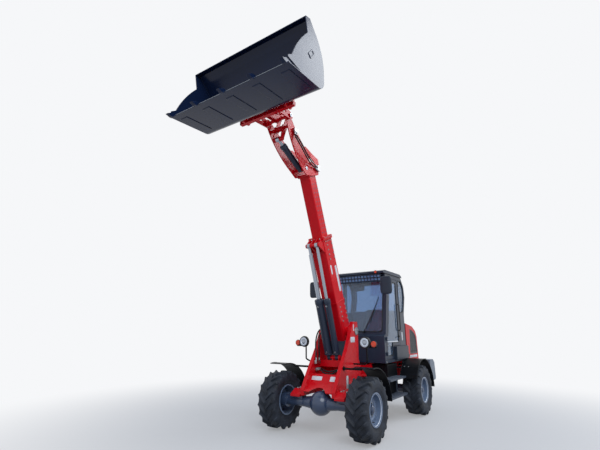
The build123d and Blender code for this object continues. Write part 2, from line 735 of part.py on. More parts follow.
# Coupler with its ears on the head's pin, and the bucket
ear_window = [(-2480, 4528), (-2480, 4640), (-2345, 4580)]
hook_outline = [
    (-2617, 4495), (-2617, 4860), (-2640, 4960), (-2515, 4960), (-2400, 4840), (-2400, 4620), (-2470, 4495),
]
coupler_bars = (((-500, -2560, 4495), (500, -2500, 4555)), ((-500, -2575, 4880), (500, -2515, 4940)))
with BuildPart() as coupler:
    for x_low, x_high in sides(coupler_ear_x, coupler_ear_x + 20):
        with BuildSketch(Plane.YZ.offset(x_low)) as ear:
            with BuildLine():
                Line((-2520, 4680), (-2253, 4632))
                ThreePointArc((-2253, 4632), (coupler_pin[0] + 60, coupler_pin[1]), (-2253, 4512))
                Polyline((-2253, 4512), (-2490, 4490), (-2520, 4490), (-2520, 4680))
            make_face()
            add(outline_face(Plane.XY, ear_window), mode=Mode.SUBTRACT)
        extrude(ear.sketch, amount=x_high - x_low)
        side_plate([(-2575, 4500), (-2575, 4930), (-2515, 4930), (-2500, 4500)], x_low, x_high)
    for x_low, x_high in sides(20, 36):
        side_plate([
            (-2253, 4622), (-2213, 4600), (-2203, 4572), (-2213, 4544), (-2253, 4522), (-2520, 4500),
            (-2520, 4760), (-2338, 4690),
        ], x_low, x_high)
        side_plate([(-2575, 4500), (-2575, 4930), (-2515, 4930), (-2500, 4500)], x_low, x_high)
    cross_pin(coupler_pin, -coupler_ear_x - 40, coupler_ear_x + 40, pin_radius + pin_play, Mode.SUBTRACT)
    cross_pin(beside(coupler_pin, coupler_joint_offset), -link_x[1] - 4, link_x[1] + 4, link_pin_radius)
    for low, high in coupler_bars:
        block(low, high)
    for x_low, x_high in sides(380, 410):
        side_plate(hook_outline, x_low, x_high)
finish(coupler, "coupler")

lip = (-3405, 4384)
heel = (-2757, 4430)
lip_corner = (-3416, 4450)
floor_line = (Vector(*heel) - Vector(*lip)).normalized()


def on_floor(a, b):
    """The side view point of a place along the bucket's floor from its lip, and above its underside."""
    return (lip[0] + a * floor_line.X - b * floor_line.Y, lip[1] + a * floor_line.Y + b * floor_line.X)


back_top = (-2950, 5348)
guard_tip = (-3048, 5318)
wear_strip = 8
wear_places = (-900, -450, 0, 450, 900)
wear_run = (110, 590)
slot_place = (-2925, 4820)
with BuildPart() as bucket:
    with BuildSketch(Plane.YZ.offset(-bucket_half_width)) as shell:
        with BuildLine():
            Line(lip, heel)
            ThreePointArc(heel, (-2652, 4483), (-2617.3, 4577))
            Line((-2617.3, 4577), (-2620, 4760))
            ThreePointArc((-2620, 4760), (-2690, 5030), (-2858, 5249))
            Line((-2858, 5249), back_top)
            Line(back_top, guard_tip)
            offset(amount=bucket_plate, side=Side.LEFT)
        make_face()
    extrude(shell.sketch, amount=2 * bucket_half_width)
    for x_low, x_high in sides(bucket_half_width - bucket_end_plate, bucket_half_width):
        with BuildSketch(Plane.YZ.offset(x_low)) as cheek:
            with BuildLine():
                Polyline(lip_corner, (-3416, 4479), (-3340, 4531))
                ThreePointArc((-3340, 4531), (-3225, 4775), (-3004, 5088))
                Polyline((-3004, 5088), guard_tip, back_top, (-2858, 5249))
                ThreePointArc((-2858, 5249), (-2690, 5030), (-2620, 4760))
                Line((-2620, 4760), (-2617.3, 4577))
                ThreePointArc((-2617.3, 4577), (-2652, 4483), heel)
                Polyline(heel, (-3159, 4410), lip_corner)
            make_face()
        extrude(cheek.sketch, amount=x_high - x_low)
    for side in (-1, 1):
        with BuildSketch(Plane(
            origin=(side * bucket_half_width, *slot_place), x_dir=(0, 0.6, 0.8), z_dir=(side, 0, 0)
        )) as frame:
            RectangleRounded(150, 74, 10)
            RectangleRounded(116, 42, 6, mode=Mode.SUBTRACT)
        extrude(frame.sketch, amount=8)
    for x in wear_places:
        side_plate([on_floor(a, b) for a, b in (
            (wear_run[0], 2), (wear_run[1], 2), (wear_run[1], -wear_strip), (wear_run[0] + 12, -wear_strip),
        )], x - 60, x + 60)
finish(bucket, "bucket")

above = bucket_plate + 0.3
tooth_profile = [(-100, 10), (-20, 50), (110, 50), (110, above), (-1, above), (-1, -14), (-36, -14)]
with BuildPart() as bucket_teeth:
    for index in range(tooth_count):
        x = (2 * index / (tooth_count - 1) - 1) * (bucket_half_width - 38)
        side_plate([on_floor(a, b) for a, b in tooth_profile], x - 25, x + 25)
finish(bucket_teeth, "bucket_teeth")


def cylinder(base, eye, x, barrel_radius, rod_radius, gland, reserve, eye_half, neck_length, names):
    """A hydraulic cylinder between two points of the side view, as a barrel and a rod with a solid eye."""
    neck = min(rod_radius, eye_half - 2)
    along = Vector(0, eye[0] - base[0], eye[1] - base[1])
    unit = along.normalized()
    length = along.length
    start = Vector(x, *base)
    with BuildPart() as barrel:
        cross_pin(base, x - eye_half, x + eye_half, pin_radius + 14)
        bar(start, start + unit * 70, eye_half - 2)
        bar(start + unit * 60, start + unit * gland, barrel_radius)
        cross_pin(base, x - eye_half - 1, x + eye_half + 1, pin_radius + 0.5, Mode.SUBTRACT)
        bar(start + unit * 80, start + unit * (gland - 60), barrel_radius - 8, Mode.SUBTRACT)
        bar(start + unit * (gland - 61), start + unit * (gland + 1), rod_radius + 0.05, Mode.SUBTRACT)
    finish(barrel, names[0])
    with BuildPart() as rod:
        cross_pin(eye, x - eye_half, x + eye_half, pin_radius + 14)
        bar(start + unit * (gland - reserve), start + unit * (length - neck_length), rod_radius)
        bar(start + unit * (length - neck_length - 1), start + unit * length, neck)
        bar(start + unit * (gland - reserve), start + unit * (gland - reserve + 30), barrel_radius - 8.05)
    finish(rod, names[1])


for sizes, names in (
    (lift_cylinder, ("lift_barrel", "lift_rod")),
    (level_cylinder, ("level_barrel", "level_rod")),
):
    cylinder(
        cylinder_pin, on_boom(*lug_pin), *sizes, gland_distance, piston_reserve,
        cylinder_eye_half, lift_neck, names,
    )
cylinder(
    beside(coupler_pin, tilt_base_offset), beside(coupler_pin, rocker_eye_offset), 0,
    tilt_barrel_radius, tilt_rod_radius, tilt_gland, tilt_reserve, tilt_eye_half, tilt_neck,
    ("tilt_barrel", "tilt_rod"),
)
rocker_pivot = beside(coupler_pin, rocker_pivot_offset)
rocker_joint = beside(coupler_pin, rocker_joint_offset)
rocker_eye = beside(coupler_pin, rocker_eye_offset)
coupler_joint = beside(coupler_pin, coupler_joint_offset)
with BuildPart() as rocker:
    for x_low, x_high in sides(*rocker_x):
        with BuildSketch(Plane.YZ.offset(x_low)) as lever:
            for end, front, front_at_end in ((rocker_eye, 50, 34), (rocker_joint, 25, 25)):
                with BuildLine():
                    Polyline(*[(p[0] + dy, p[1]) for p, dy in (
                        (rocker_pivot, -front), (end, -front_at_end), (end, 34), (rocker_pivot, 50),
                    )], close=True)
                make_face()
                with Locations(end):
                    Circle(38)
            with Locations(rocker_pivot):
                Circle(55)
        extrude(lever.sketch, amount=x_high - x_low)
    for x_low, x_high in sides(tilt_eye_half + eye_play, rocker_x[0]):
        cross_pin(rocker_eye, x_low, x_high, 34)
    for x_low, x_high in sides(link_x[1] + eye_play, rocker_x[0]):
        cross_pin(rocker_joint, x_low, x_high, 30)
    for x_low, x_high in sides(rocker_x[1], rocker_x[1] + 7):
        cross_pin(rocker_joint, x_low, x_high, 24)
    cross_pin(rocker_pivot, -rocker_x[1], rocker_x[1], 40)
    cross_pin(rocker_pivot, -100, 100, pin_radius + pin_play, Mode.SUBTRACT)
finish(rocker, "tilt_rocker")
with BuildPart() as tilt_link:
    for x_low, x_high in sides(*link_x):
        with BuildSketch(Plane.YZ.offset(x_low)) as bar_face:
            with BuildLine():
                Polyline(*[(p[0], p[1] + dz) for p, dz in (
                    (rocker_joint, -24), (coupler_joint, -24), (coupler_joint, 24), (rocker_joint, 24),
                )], close=True)
            make_face()
            for end in (rocker_joint, coupler_joint):
                with Locations(end):
                    Circle(32)
        extrude(bar_face.sketch, amount=x_high - x_low)
    spacer = [q + 0.4 * (c - q) for q, c in zip(rocker_joint, coupler_joint)]
    cross_pin(spacer, -link_x[0] - 1, link_x[0] + 1, 20)
    cross_pin(coupler_joint, -100, 100, link_pin_radius + pin_play, Mode.SUBTRACT)
finish(tilt_link, "tilt_link")
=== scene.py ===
import bpy
import numpy as np
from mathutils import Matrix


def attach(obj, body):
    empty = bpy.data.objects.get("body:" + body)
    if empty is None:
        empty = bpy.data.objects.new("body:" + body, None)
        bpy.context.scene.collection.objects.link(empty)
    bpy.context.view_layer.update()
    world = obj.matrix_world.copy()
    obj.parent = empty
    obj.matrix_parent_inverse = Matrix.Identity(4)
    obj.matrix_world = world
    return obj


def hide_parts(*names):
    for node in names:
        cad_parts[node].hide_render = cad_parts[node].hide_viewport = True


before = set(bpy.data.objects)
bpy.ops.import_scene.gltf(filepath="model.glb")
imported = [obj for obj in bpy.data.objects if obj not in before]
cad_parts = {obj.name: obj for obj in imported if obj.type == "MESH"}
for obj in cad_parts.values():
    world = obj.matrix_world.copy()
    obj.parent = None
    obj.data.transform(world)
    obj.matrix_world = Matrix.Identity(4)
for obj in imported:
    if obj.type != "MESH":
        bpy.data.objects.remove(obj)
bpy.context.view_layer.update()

# Camera: stands 1.46 m above the ground, in front of the machine's left front wheel,
# and looks up towards the raised bucket with a wide lens.
camera_data = bpy.data.cameras.new("camera")
camera_data.sensor_width, camera_data.lens = 36.0, 22.69
camera = bpy.data.objects.new("camera", camera_data)
camera.location = (3.180, -6.323, 1.458)
camera.rotation_euler = np.radians((90 + 15.60, 0, 34.26))
bpy.context.scene.collection.objects.link(camera)
bpy.context.scene.camera = camera
bpy.context.scene.view_settings.view_transform = "Standard"

# Hydraulic hoses: nitrile rubber over steel braid, 22 mm thick, with crimped zinc-plated collars.
# Each pair leaves one steel block straight, bends freely and enters the next block straight.
hose_radius = 0.011


def linear(hex_colour):
    """An sRGB hex colour as the linear RGBA that Blender's sockets take."""
    srgb = np.array([int(hex_colour[i:i + 2], 16) for i in (1, 3, 5)]) / 255
    rgb = np.where(srgb <= 0.04045, srgb / 12.92, ((srgb + 0.055) / 1.055) ** 2.4)
    return (*rgb.tolist(), 1.0)


def wire(tree, node, sockets=(), links=()):
    """Sets a node's inputs: sockets gives their values, and links their sources as (node, output) pairs."""
    for name, value in dict(sockets).items():
        node.inputs[name].default_value = value
    for name, (source, output) in dict(links).items():
        tree.links.new(source.outputs[output], node.inputs[name])
    return node


def add_node(tree, kind, sockets=(), links=(), **settings):
    """Adds a shader node of a kind with its settings, then its inputs as in wire."""
    node = tree.nodes.new("ShaderNode" + kind)
    for name, value in settings.items():
        setattr(node, name, value)
    return wire(tree, node, sockets, links)


def plain_material(name, sockets=()):
    """A node material with an output, a shader with plain values and a link from its Object coordinates."""
    material = bpy.data.materials.new(name)
    material.use_nodes = True
    tree = material.node_tree
    tree.nodes.clear()
    shader = add_node(tree, "BsdfPrincipled", sockets)
    add_node(tree, "OutputMaterial", links={"Surface": (shader, "BSDF")})
    place = add_node(tree, "TexCoord")
    return material, tree, shader, {"Vector": (place, "Object")}


def mixed_colour(tree, factor, output, low, high):
    """A colour that runs from one hex value to another as a factor goes from 0 to 1."""
    return add_node(tree, "Mix", {6: linear(low), 7: linear(high)}, {"Factor": (factor, output)},
                    data_type="RGBA")


def rubber(name, fresh, dusty, roughness, grain_mm):
    """Moulded or extruded rubber: matt, with a fine grain in its bump and pale dust in patches of 110 mm."""
    material, tree, shader, here = plain_material(name, {
        "Roughness": roughness, "Specular IOR Level": 0.25})
    patches = add_node(tree, "TexNoise", {"Scale": 9.0, "Detail": 5.0}, here)
    spread = add_node(tree, "MapRange", {"From Min": 0.35, "From Max": 0.72}, {"Value": (patches, "Fac")})
    colour = mixed_colour(tree, spread, "Result", fresh, dusty)
    grain = add_node(tree, "TexNoise", {"Scale": 1000 / grain_mm, "Detail": 2.0}, here)
    bump = add_node(tree, "Bump", {"Strength": 0.25, "Distance": 0.0008}, {"Height": (grain, "Fac")})
    wire(tree, shader, links={"Base Color": (colour, 2), "Normal": (bump, "Normal")})
    return material


hose_rubber = rubber("nitrile_hose_cover", "#17181b", "#2d2e30", 0.48, 3.0)


def hose(name, body, points, fittings):
    """A NURBS curve through free space, drawn to its first and last control points."""
    curve = bpy.data.curves.new(name, "CURVE")
    curve.dimensions, curve.bevel_depth, curve.bevel_resolution = "3D", hose_radius, 6
    curve.resolution_u, curve.use_fill_caps = 12, True
    spline = curve.splines.new("NURBS")
    spline.points.add(len(points) - 1)
    spline.points.foreach_set("co", np.c_[points, np.ones(len(points))].ravel())
    spline.order_u, spline.use_endpoint_u = 3, True
    curve.materials.append(hose_rubber)
    piece = bpy.data.objects.new(name, curve)
    bpy.context.scene.collection.objects.link(piece)
    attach(piece, body)


def mesh_from(name, points, faces, smooth=True):
    """A mesh from an array of points and a list of faces, linked at the origin."""
    mesh = bpy.data.meshes.new(name)
    mesh.from_pydata(np.asarray(points, float).reshape(-1, 3).tolist(), [], faces)
    mesh.polygons.foreach_set("use_smooth", [smooth] * len(mesh.polygons))
    piece = bpy.data.objects.new(name, mesh)
    bpy.context.scene.collection.objects.link(piece)
    return piece


def ring_quads(rings, count):
    """Quads between neighbouring rings of so many points, each ring closed on itself."""
    ring, point = np.meshgrid(np.arange(rings - 1), np.arange(count), indexing="ij")
    near, far, after = ring * count, (ring + 1) * count, (point + 1) % count
    return np.stack([near + point, near + after, far + after, far + point], -1).reshape(-1, 4).tolist()


def tube_faces(rings, count):
    """The faces of a tube of rings, closed by a face at each end."""
    last = (rings - 1) * count
    return ring_quads(rings, count) + [list(range(count))[::-1], list(range(last, last + count))]


def axes_along(direction):
    """A direction's unit vector, and two more square to it and to each other."""
    direction = np.asarray(direction, float) / np.linalg.norm(direction)
    side = np.cross(direction, (0, 0, 1) if abs(direction[2]) < 0.9 else (1, 0, 0))
    side /= np.linalg.norm(side)
    return direction, side, np.cross(direction, side)


def turned_shape(centre, direction, profile, count=32):
    """A profile of (distance along a, radius r) turned round an axis, with both ends closed.

    Each point is centre + a·along + r·(cos t·u + sin t·v)."""
    along, u, v = axes_along(direction)
    profile = np.asarray(profile, float)
    turn = np.linspace(0, 2 * np.pi, count, endpoint=False)
    ring = np.cos(turn)[:, None] * u + np.sin(turn)[:, None] * v
    points = np.asarray(centre) + profile[:, :1, None] * along + profile[:, 1:, None] * ring
    return points.reshape(-1, 3), tube_faces(len(profile), count)


def joined(shapes):
    """Several (points, faces) shapes as one."""
    points, faces, start = [], [], 0
    for shape_points, shape_faces in shapes:
        points.append(np.asarray(shape_points, float).reshape(-1, 3))
        faces += [[start + index for index in face] for face in shape_faces]
        start += len(points[-1])
    return np.concatenate(points), faces


def fitted(name, body, material, shape, bevel=0.0, smooth=True):
    """A rigid piece of one finish that rides on a body, its sharp edges rounded by a bevel."""
    piece = mesh_from(name, *shape, smooth)
    piece.data.materials.append(material)
    if bevel:
        rounding = piece.modifiers.new("rounded_edges", "BEVEL")
        rounding.width, rounding.segments, rounding.limit_method = bevel, 2, "ANGLE"
        rounding.harden_normals = True
    elif smooth:
        piece.data.set_sharp_from_angle(angle=np.radians(35))
    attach(piece, body)
    return piece


def metal(name, colour, roughness, wear_scale=60.0):
    """Bare metal: one colour, with cloudy wear in its roughness, wear_scale clouds to the metre."""
    material, tree, shader, here = plain_material(name, {"Base Color": linear(colour), "Metallic": 1.0})
    wear = add_node(tree, "TexNoise", {"Scale": wear_scale, "Detail": 4.0}, here)
    rough = add_node(tree, "MapRange", {"To Min": roughness * 0.7, "To Max": roughness * 1.4},
                     {"Value": (wear, "Fac")})
    wire(tree, shader, links={"Roughness": (rough, "Result")})
    return material


zinc = metal("zinc_plated_steel", "#a3a7ab", 0.34)


def hose_collars(name, body, ends):
    """Crimped steel collars with two swaged rings, at (point, direction) pairs."""
    grown = hose_radius * 1.35
    profile = [(0.0005, grown * 0.9), (0.0005, grown * 1.15), (0.014, grown * 1.15), (0.016, grown * 0.95),
               (0.020, grown), (0.026, grown * 1.02), (0.028, grown * 0.94), (0.034, grown * 0.94),
               (0.036, grown * 1.02), (0.044, grown * 1.02), (0.047, hose_radius * 1.02)]
    shapes = [turned_shape(point, direction, profile, 24) for point, direction in ends]
    return fitted(name, body, zinc, joined(shapes))


def steel_block(low, high):
    """A block between two corners, as eight points and six outward faces."""
    corners = np.stack(np.meshgrid(*zip(low, high), indexing="ij"), -1).reshape(-1, 3)
    return corners, [[0, 1, 3, 2], [4, 6, 7, 5], [0, 4, 5, 1], [2, 3, 7, 6], [0, 2, 6, 4], [1, 5, 7, 3]]


for name, body, blocks in (
    ("tower_hose_blocks", "front_frame", (
        ((-0.2405, -0.600, 1.420), (-0.193, -0.548, 1.518)),
        ((-0.2405, -0.905, 0.950), (-0.193, -0.765, 1.000)),
        ((-0.2405, -0.885, 0.845), (-0.208, -0.795, 0.892)),
        ((0.208, -0.885, 0.845), (0.2405, -0.795, 0.892)))),
    ("head_hose_blocks", "telescope", (
        ((0.1165, -1.360, 4.022), (0.160, -1.290, 4.120)),
        ((0.1640, -2.110, 4.390), (0.215, -2.016, 4.440)))),
):
    fitted(name, body, zinc, joined([steel_block(low, high) for low, high in blocks]), 0.003)

for name, body, length, route in (
    ("tower_hose_inner", "front_frame", 0.60, [
        (-.214, -.600, 1.445), (-.214, -.690, 1.445), (-.205, -.780, 1.395), (-.192, -.830, 1.295),
        (-.192, -.830, 1.190), (-.208, -.790, 1.100), (-.214, -.790, 1.000)]),
    ("tower_hose_outer", "front_frame", 0.70, [
        (-.214, -.600, 1.493), (-.214, -.715, 1.493), (-.206, -.830, 1.440), (-.200, -.900, 1.340),
        (-.203, -.915, 1.220), (-.212, -.880, 1.110), (-.214, -.878, 1.000)]),
    ("head_hose_upper", "telescope", 0.81, [
        (.140, -1.360, 4.098), (.142, -1.440, 4.098), (.168, -1.590, 4.106), (.206, -1.760, 4.140),
        (.232, -1.900, 4.204), (.226, -2.000, 4.280), (.198, -2.040, 4.340), (.198, -2.040, 4.390)]),
    ("head_hose_lower", "telescope", 0.90, [
        (.140, -1.360, 4.046), (.142, -1.440, 4.044), (.170, -1.600, 4.050), (.212, -1.790, 4.082),
        (.242, -1.940, 4.150), (.232, -2.050, 4.240), (.198, -2.086, 4.320), (.198, -2.086, 4.390)]),
    ("cross_hose_upper", "front_frame", 0.43, [
        (-.208, -.820, .876), (-.150, -.820, .876), (-.080, -.846, .850), (.000, -.862, .838),
        (.080, -.850, .852), (.150, -.828, .876), (.208, -.828, .876)]),
    ("cross_hose_lower", "front_frame", 0.44, [
        (-.208, -.858, .862), (-.150, -.858, .862), (-.080, -.872, .818), (.000, -.880, .800),
        (.080, -.874, .816), (.150, -.862, .860), (.208, -.862, .860)]),
):
    route = np.array(route)
    ends = [(route[0], route[1] - route[0]), (route[-1], route[-2] - route[-1])]
    hose(name, body, route, [hose_collars(f"{name}_collars", body, ends)])

# Studio: a pale floor that fades into an even pale sky, so that no horizon shows,
# and two large soft lamps, one high in front and one high behind the machine's left side.
studio_white = linear("#f6f7f9")


def seen_directly(tree):
    """One for camera, glossy and glass rays, which see the white background, and zero for all others."""
    rays = add_node(tree, "LightPath")
    share = (rays, "Is Camera Ray")
    for ray in ("Is Glossy Ray", "Is Transmission Ray"):
        share = (add_node(tree, "Math", links={0: share, 1: (rays, ray)}, operation="MAXIMUM"), "Value")
    return share


world = bpy.data.worlds.new("soft_sky")
world.use_nodes = True
sky = world.node_tree
sky.nodes.clear()
sky_place = add_node(sky, "TexCoord")
height = add_node(sky, "SeparateXYZ", links={"Vector": (sky_place, "Generated")})
glow = add_node(sky, "MapRange", {"From Min": -0.2, "From Max": 0.9}, {"Value": (height, "Z")})
light = mixed_colour(sky, glow, "Result", "#74777d", "#dbe4f4")
backdrop = add_node(sky, "Mix", {7: studio_white}, {"Factor": seen_directly(sky), 6: (light, 2)},
                    data_type="RGBA")
background = add_node(sky, "Background", {"Strength": 1.0}, {"Color": (backdrop, 2)})
add_node(sky, "OutputWorld", links={"Surface": (background, "Background")})
bpy.context.scene.world = world

for name, place, aim, size, watts in (
    ("front_softbox", (6.5, -7.5, 8.0), (52, 0, 41), 7.0, 560),
    ("rear_left_softbox", (6.6, 6.1, 11.0), (49, 0, 141), 6.5, 600),
):
    lamp_data = bpy.data.lights.new(name, "AREA")
    lamp_data.shape, lamp_data.size, lamp_data.energy = "DISK", size, watts
    lamp_data.color = (0.90, 0.95, 1.0)
    lamp = bpy.data.objects.new(name, lamp_data)
    lamp.location, lamp.rotation_euler = place, np.radians(aim)
    bpy.context.scene.collection.objects.link(lamp)

floor_corners = [(-90, -60, 0), (90, -60, 0), (90, 120, 0), (-90, 120, 0)]
floor = mesh_from("studio_floor", floor_corners, [(0, 1, 2, 3)], False)
floor_paint, floor_tree, floor_shader, floor_here = plain_material("matt_pale_floor", {
    "Base Color": linear("#a9abae"), "Roughness": 0.9})
away = add_node(floor_tree, "VectorMath", links=floor_here, operation="LENGTH")
fade = add_node(floor_tree, "MapRange", {"From Min": 2.2, "From Max": 7.5, "To Min": 0.3},
                {"Value": (away, "Value")}, interpolation_type="SMOOTHSTEP")
white_share = add_node(floor_tree, "Math", links={0: (fade, "Result"), 1: seen_directly(floor_tree)},
                       operation="MULTIPLY")
white_far = add_node(floor_tree, "Emission", {"Color": studio_white, "Strength": 1.0})
floor_mix = add_node(floor_tree, "MixShader", links={
    "Fac": (white_share, "Value"), 1: (floor_shader, "BSDF"), 2: (white_far, "Emission")})
wire(floor_tree, floor_tree.nodes["Material Output"], links={"Surface": (floor_mix, "Shader")})
floor.data.materials.append(floor_paint)


# Chassis, tower, hood and boom: welded plate, sprayed in gloss two-pack red.
# The paint shows a fine orange-peel skin, chipped edges over grey primer, and road dust low down.
def sprayed_paint(name, fresh, faded, dust, roughness, coat, peel_mm=2.5, dust_top=0.9, chip="#6d6a68",
                  edge_mm=5.0, gloss=0.3):
    """Sprayed paint: two close shades in clouds of 600 mm, specks of dust 26 mm wide that thin with height
    up to dust_top, and rounded edges that are chipped to the primer in bites of 48 mm."""
    material, tree, shader, here = plain_material(name, {
        "Coat Weight": coat, "Coat Roughness": 0.08, "Specular IOR Level": gloss})
    clouds = add_node(tree, "TexNoise", {"Scale": 1.7, "Detail": 3.0}, here)
    shade = mixed_colour(tree, clouds, "Fac", fresh, faded)
    up = add_node(tree, "SeparateXYZ", links=here)
    low = add_node(tree, "MapRange", {
        "From Min": 0.1, "From Max": dust_top, "To Min": 0.4, "To Max": 0.0}, {"Value": (up, "Z")})
    specks = add_node(tree, "TexNoise", {"Scale": 38.0, "Detail": 6.0, "Roughness": 0.7}, here)
    amount = add_node(tree, "Math", links={0: (low, "Result"), 1: (specks, "Fac")}, operation="MULTIPLY")
    dirty = add_node(tree, "Mix", {7: linear(dust)}, {"Factor": (amount, "Value"), 6: (shade, 2)},
                     data_type="RGBA")
    rounded = add_node(tree, "Bevel", {"Radius": edge_mm / 1000}, samples=4)
    true_normal = add_node(tree, "NewGeometry")
    facing = add_node(tree, "VectorMath", links={0: (rounded, "Normal"), 1: (true_normal, "Normal")},
                      operation="DOT_PRODUCT")
    edge = add_node(tree, "MapRange", {"From Min": 0.93, "From Max": 0.78}, {"Value": (facing, "Value")})
    scuffs = add_node(tree, "TexNoise", {"Scale": 21.0, "Detail": 8.0, "Roughness": 0.75}, here)
    bitten = add_node(tree, "MapRange", {"From Min": 0.56, "From Max": 0.64}, {"Value": (scuffs, "Fac")})
    worn = add_node(tree, "Math", links={0: (edge, "Result"), 1: (bitten, "Result")}, operation="MULTIPLY")
    colour = add_node(tree, "Mix", {7: linear(chip)}, {"Factor": (worn, "Value"), 6: (dirty, 2)},
                      data_type="RGBA")
    rough = add_node(tree, "MapRange", {"To Min": roughness - 0.05, "To Max": roughness + 0.12},
                     {"Value": (clouds, "Fac")})
    peel = add_node(tree, "TexNoise", {"Scale": 1000 / peel_mm, "Detail": 1.0}, here)
    bump = add_node(tree, "Bump", {"Strength": 0.08, "Distance": 0.0006},
                    {"Height": (peel, "Fac"), "Normal": (rounded, "Normal")})
    wire(tree, shader, links={
        "Base Color": (colour, 2), "Roughness": (rough, "Result"), "Normal": (bump, "Normal")})
    return material


def dress(material, *nodes):
    """Gives CAD nodes their finish in every material slot."""
    for name in nodes:
        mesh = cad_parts[name].data
        if not mesh.materials:
            mesh.materials.append(material)
        for index in range(len(mesh.materials)):
            mesh.materials[index] = material


red_paint = sprayed_paint("red_two_pack_paint", "#d80a1c", "#c40715", "#7a4844", 0.24, 0.03, gloss=0.15)
dress(red_paint, "front_tower", "rear_chassis", "outer_boom", "inner_boom", "boom_head", "tilt_rocker",
      "tilt_link", "coupler", "hood")
casting = sprayed_paint("painted_iron_casting", "#3a4b68", "#2d3b53", "#4c4e53", 0.28, 0.6, 6.0)
dress(casting, "front_axle", "rear_axle", "engine_block")
grey_paint = sprayed_paint("light_grey_powder_coat", "#68727f", "#757f8c", "#62615f", 0.42, 0.05,
                           chip="#4b4a49")
dress(grey_paint, "counterweight")
step_paint = sprayed_paint("steel_grey_step_paint", "#3d4654", "#47515f", "#5b5a59", 0.38, 0.05,
                           chip="#8b8d90", gloss=0.25)
dress(step_paint, "side_steps")
dress(zinc, "steering_pin", "tow_hitch")


# Screws and bolts: zinc-plated hexagon heads on washers, in rows where plates are bolted together.
# Their heads hold the axle, wear blocks, mudguards, cab, counterweight and pins.
def bolts(name, body, places, directions, sizes):
    """One joined mesh of hexagon heads: each point is place + size·(x·u + y·v + z·direction)."""
    corner = np.arange(12)
    turn, hexagon, circle = np.radians(corner * 30), np.where(corner % 2 == 0, 1.0, 0.88), np.ones(12)
    rings = []
    for z, radius, form in ((0.0, 1.22, circle), (0.18, 1.22, circle), (0.2, 0.95, hexagon),
                            (0.78, 0.95, hexagon), (0.9, 0.82, hexagon), (0.9, 0.4, circle)):
        reach = radius * form
        rings.append(np.c_[reach * np.cos(turn), reach * np.sin(turn), np.full(12, z)])
    local, faces = np.concatenate(rings), tube_faces(len(rings), 12)
    places = np.asarray(places, float).reshape(-1, 3)
    directions = np.broadcast_to(np.asarray(directions, float), places.shape)
    sizes = np.broadcast_to(np.asarray(sizes, float), len(places))
    heads = []
    for place, direction, size in zip(places, directions, sizes):
        along, u, v = axes_along(direction)
        heads.append((place + size * (local[:, :1] * u + local[:, 1:2] * v + local[:, 2:] * along), faces))
    return fitted(name, body, zinc, joined(heads), smooth=False)


axle_feet = [(side * x, y, 0.5998) for side in (-1, 1) for x in (0.335, 0.425) for y in (-1.085, -1.015)]
bolts("front_axle_bolts", "front_frame", axle_feet, (0, 0, 1), 0.016)
bolts("counterweight_bolts", "rear_frame", [(x, 1.7, 0.905) for x in (-0.75, -0.62, 0.62, 0.75)],
      (0, 0, 1), 0.018)
bolts("tail_bolts", "rear_frame", [(x, 1.9595, 0.62) for x in (-0.5, -0.36, 0.36, 0.5)], (0, 1, 0.06), 0.018)

# Tyres: four 12-16.5 loader tyres of carbon-black rubber, moulded with 18 pairs of chevron lugs.
# Lug flanks are steep with rounded tops, and the sidewalls carry moulded rings and shoulder ribs.
track_half, axle_height = 0.7415, 0.42
axles = (("front", -1.1), ("rear", 1.1))
sides = (("left", 1), ("right", -1))
lug_pitches, lug_height = 18, 0.030
lug_slant, slant_start, slant_run = 15.0, 0.014, 0.106
lug_turn = 92.0
across = np.array([  # distance from the middle, carcass radius, share of the lug's height
    (0.000, .3900, 0.0), (0.004, .3900, 0.0), (0.008, .3900, 0.35), (0.012, .3900, 0.85),
    (0.016, .3900, 0.98), (0.022, .3900, 1.0), (0.050, .3899, 1.0), (0.080, .3897, 1.0),
    (0.105, .3893, 1.0), (0.122, .3880, 1.02), (0.132, .3850, 1.05), (0.141, .3790, 1.05),
    (0.148, .3710, 0.95), (0.153, .3620, 0.72), (0.157, .3520, 0.42), (0.1595, .3400, 0.14),
    (0.1598, .3310, 0.0), (0.1600, .3270, 0.0), (0.1575, .3250, 0.0), (0.1585, .3050, 0.0),
    (0.1560, .2850, 0.0), (0.1530, .2790, 0.0), (0.1535, .2750, 0.0), (0.1500, .2720, 0.0),
    (0.1460, .2600, 0.0), (0.1400, .2440, 0.0), (0.1350, .2350, 0.0), (0.1360, .2310, 0.0),
    (0.1290, .2270, 0.0), (0.1258, .2240, 0.0), (0.1252, .2127, 0.0)])
flank_marks = np.array([0.2, 0.8, 1.2, 1.6, 2.2, 4.0, 5.8, 6.4, 6.8, 7.2, 7.8, 10.5, 13.5, 17.0])  # degrees
flank = np.array([0.05, 0.4, 0.8, 0.97, 1.0, 1.0, 1.0, 0.97, 0.8, 0.4, 0.05, 0.0, 0.0, 0.0])


def loop_faces(rings, count):
    """The quads between rings, and from the last ring back to the first."""
    last = (rings - 1) * count
    back = [[last + i, last + (i + 1) % count, (i + 1) % count, i] for i in range(count)]
    return ring_quads(rings, count) + back


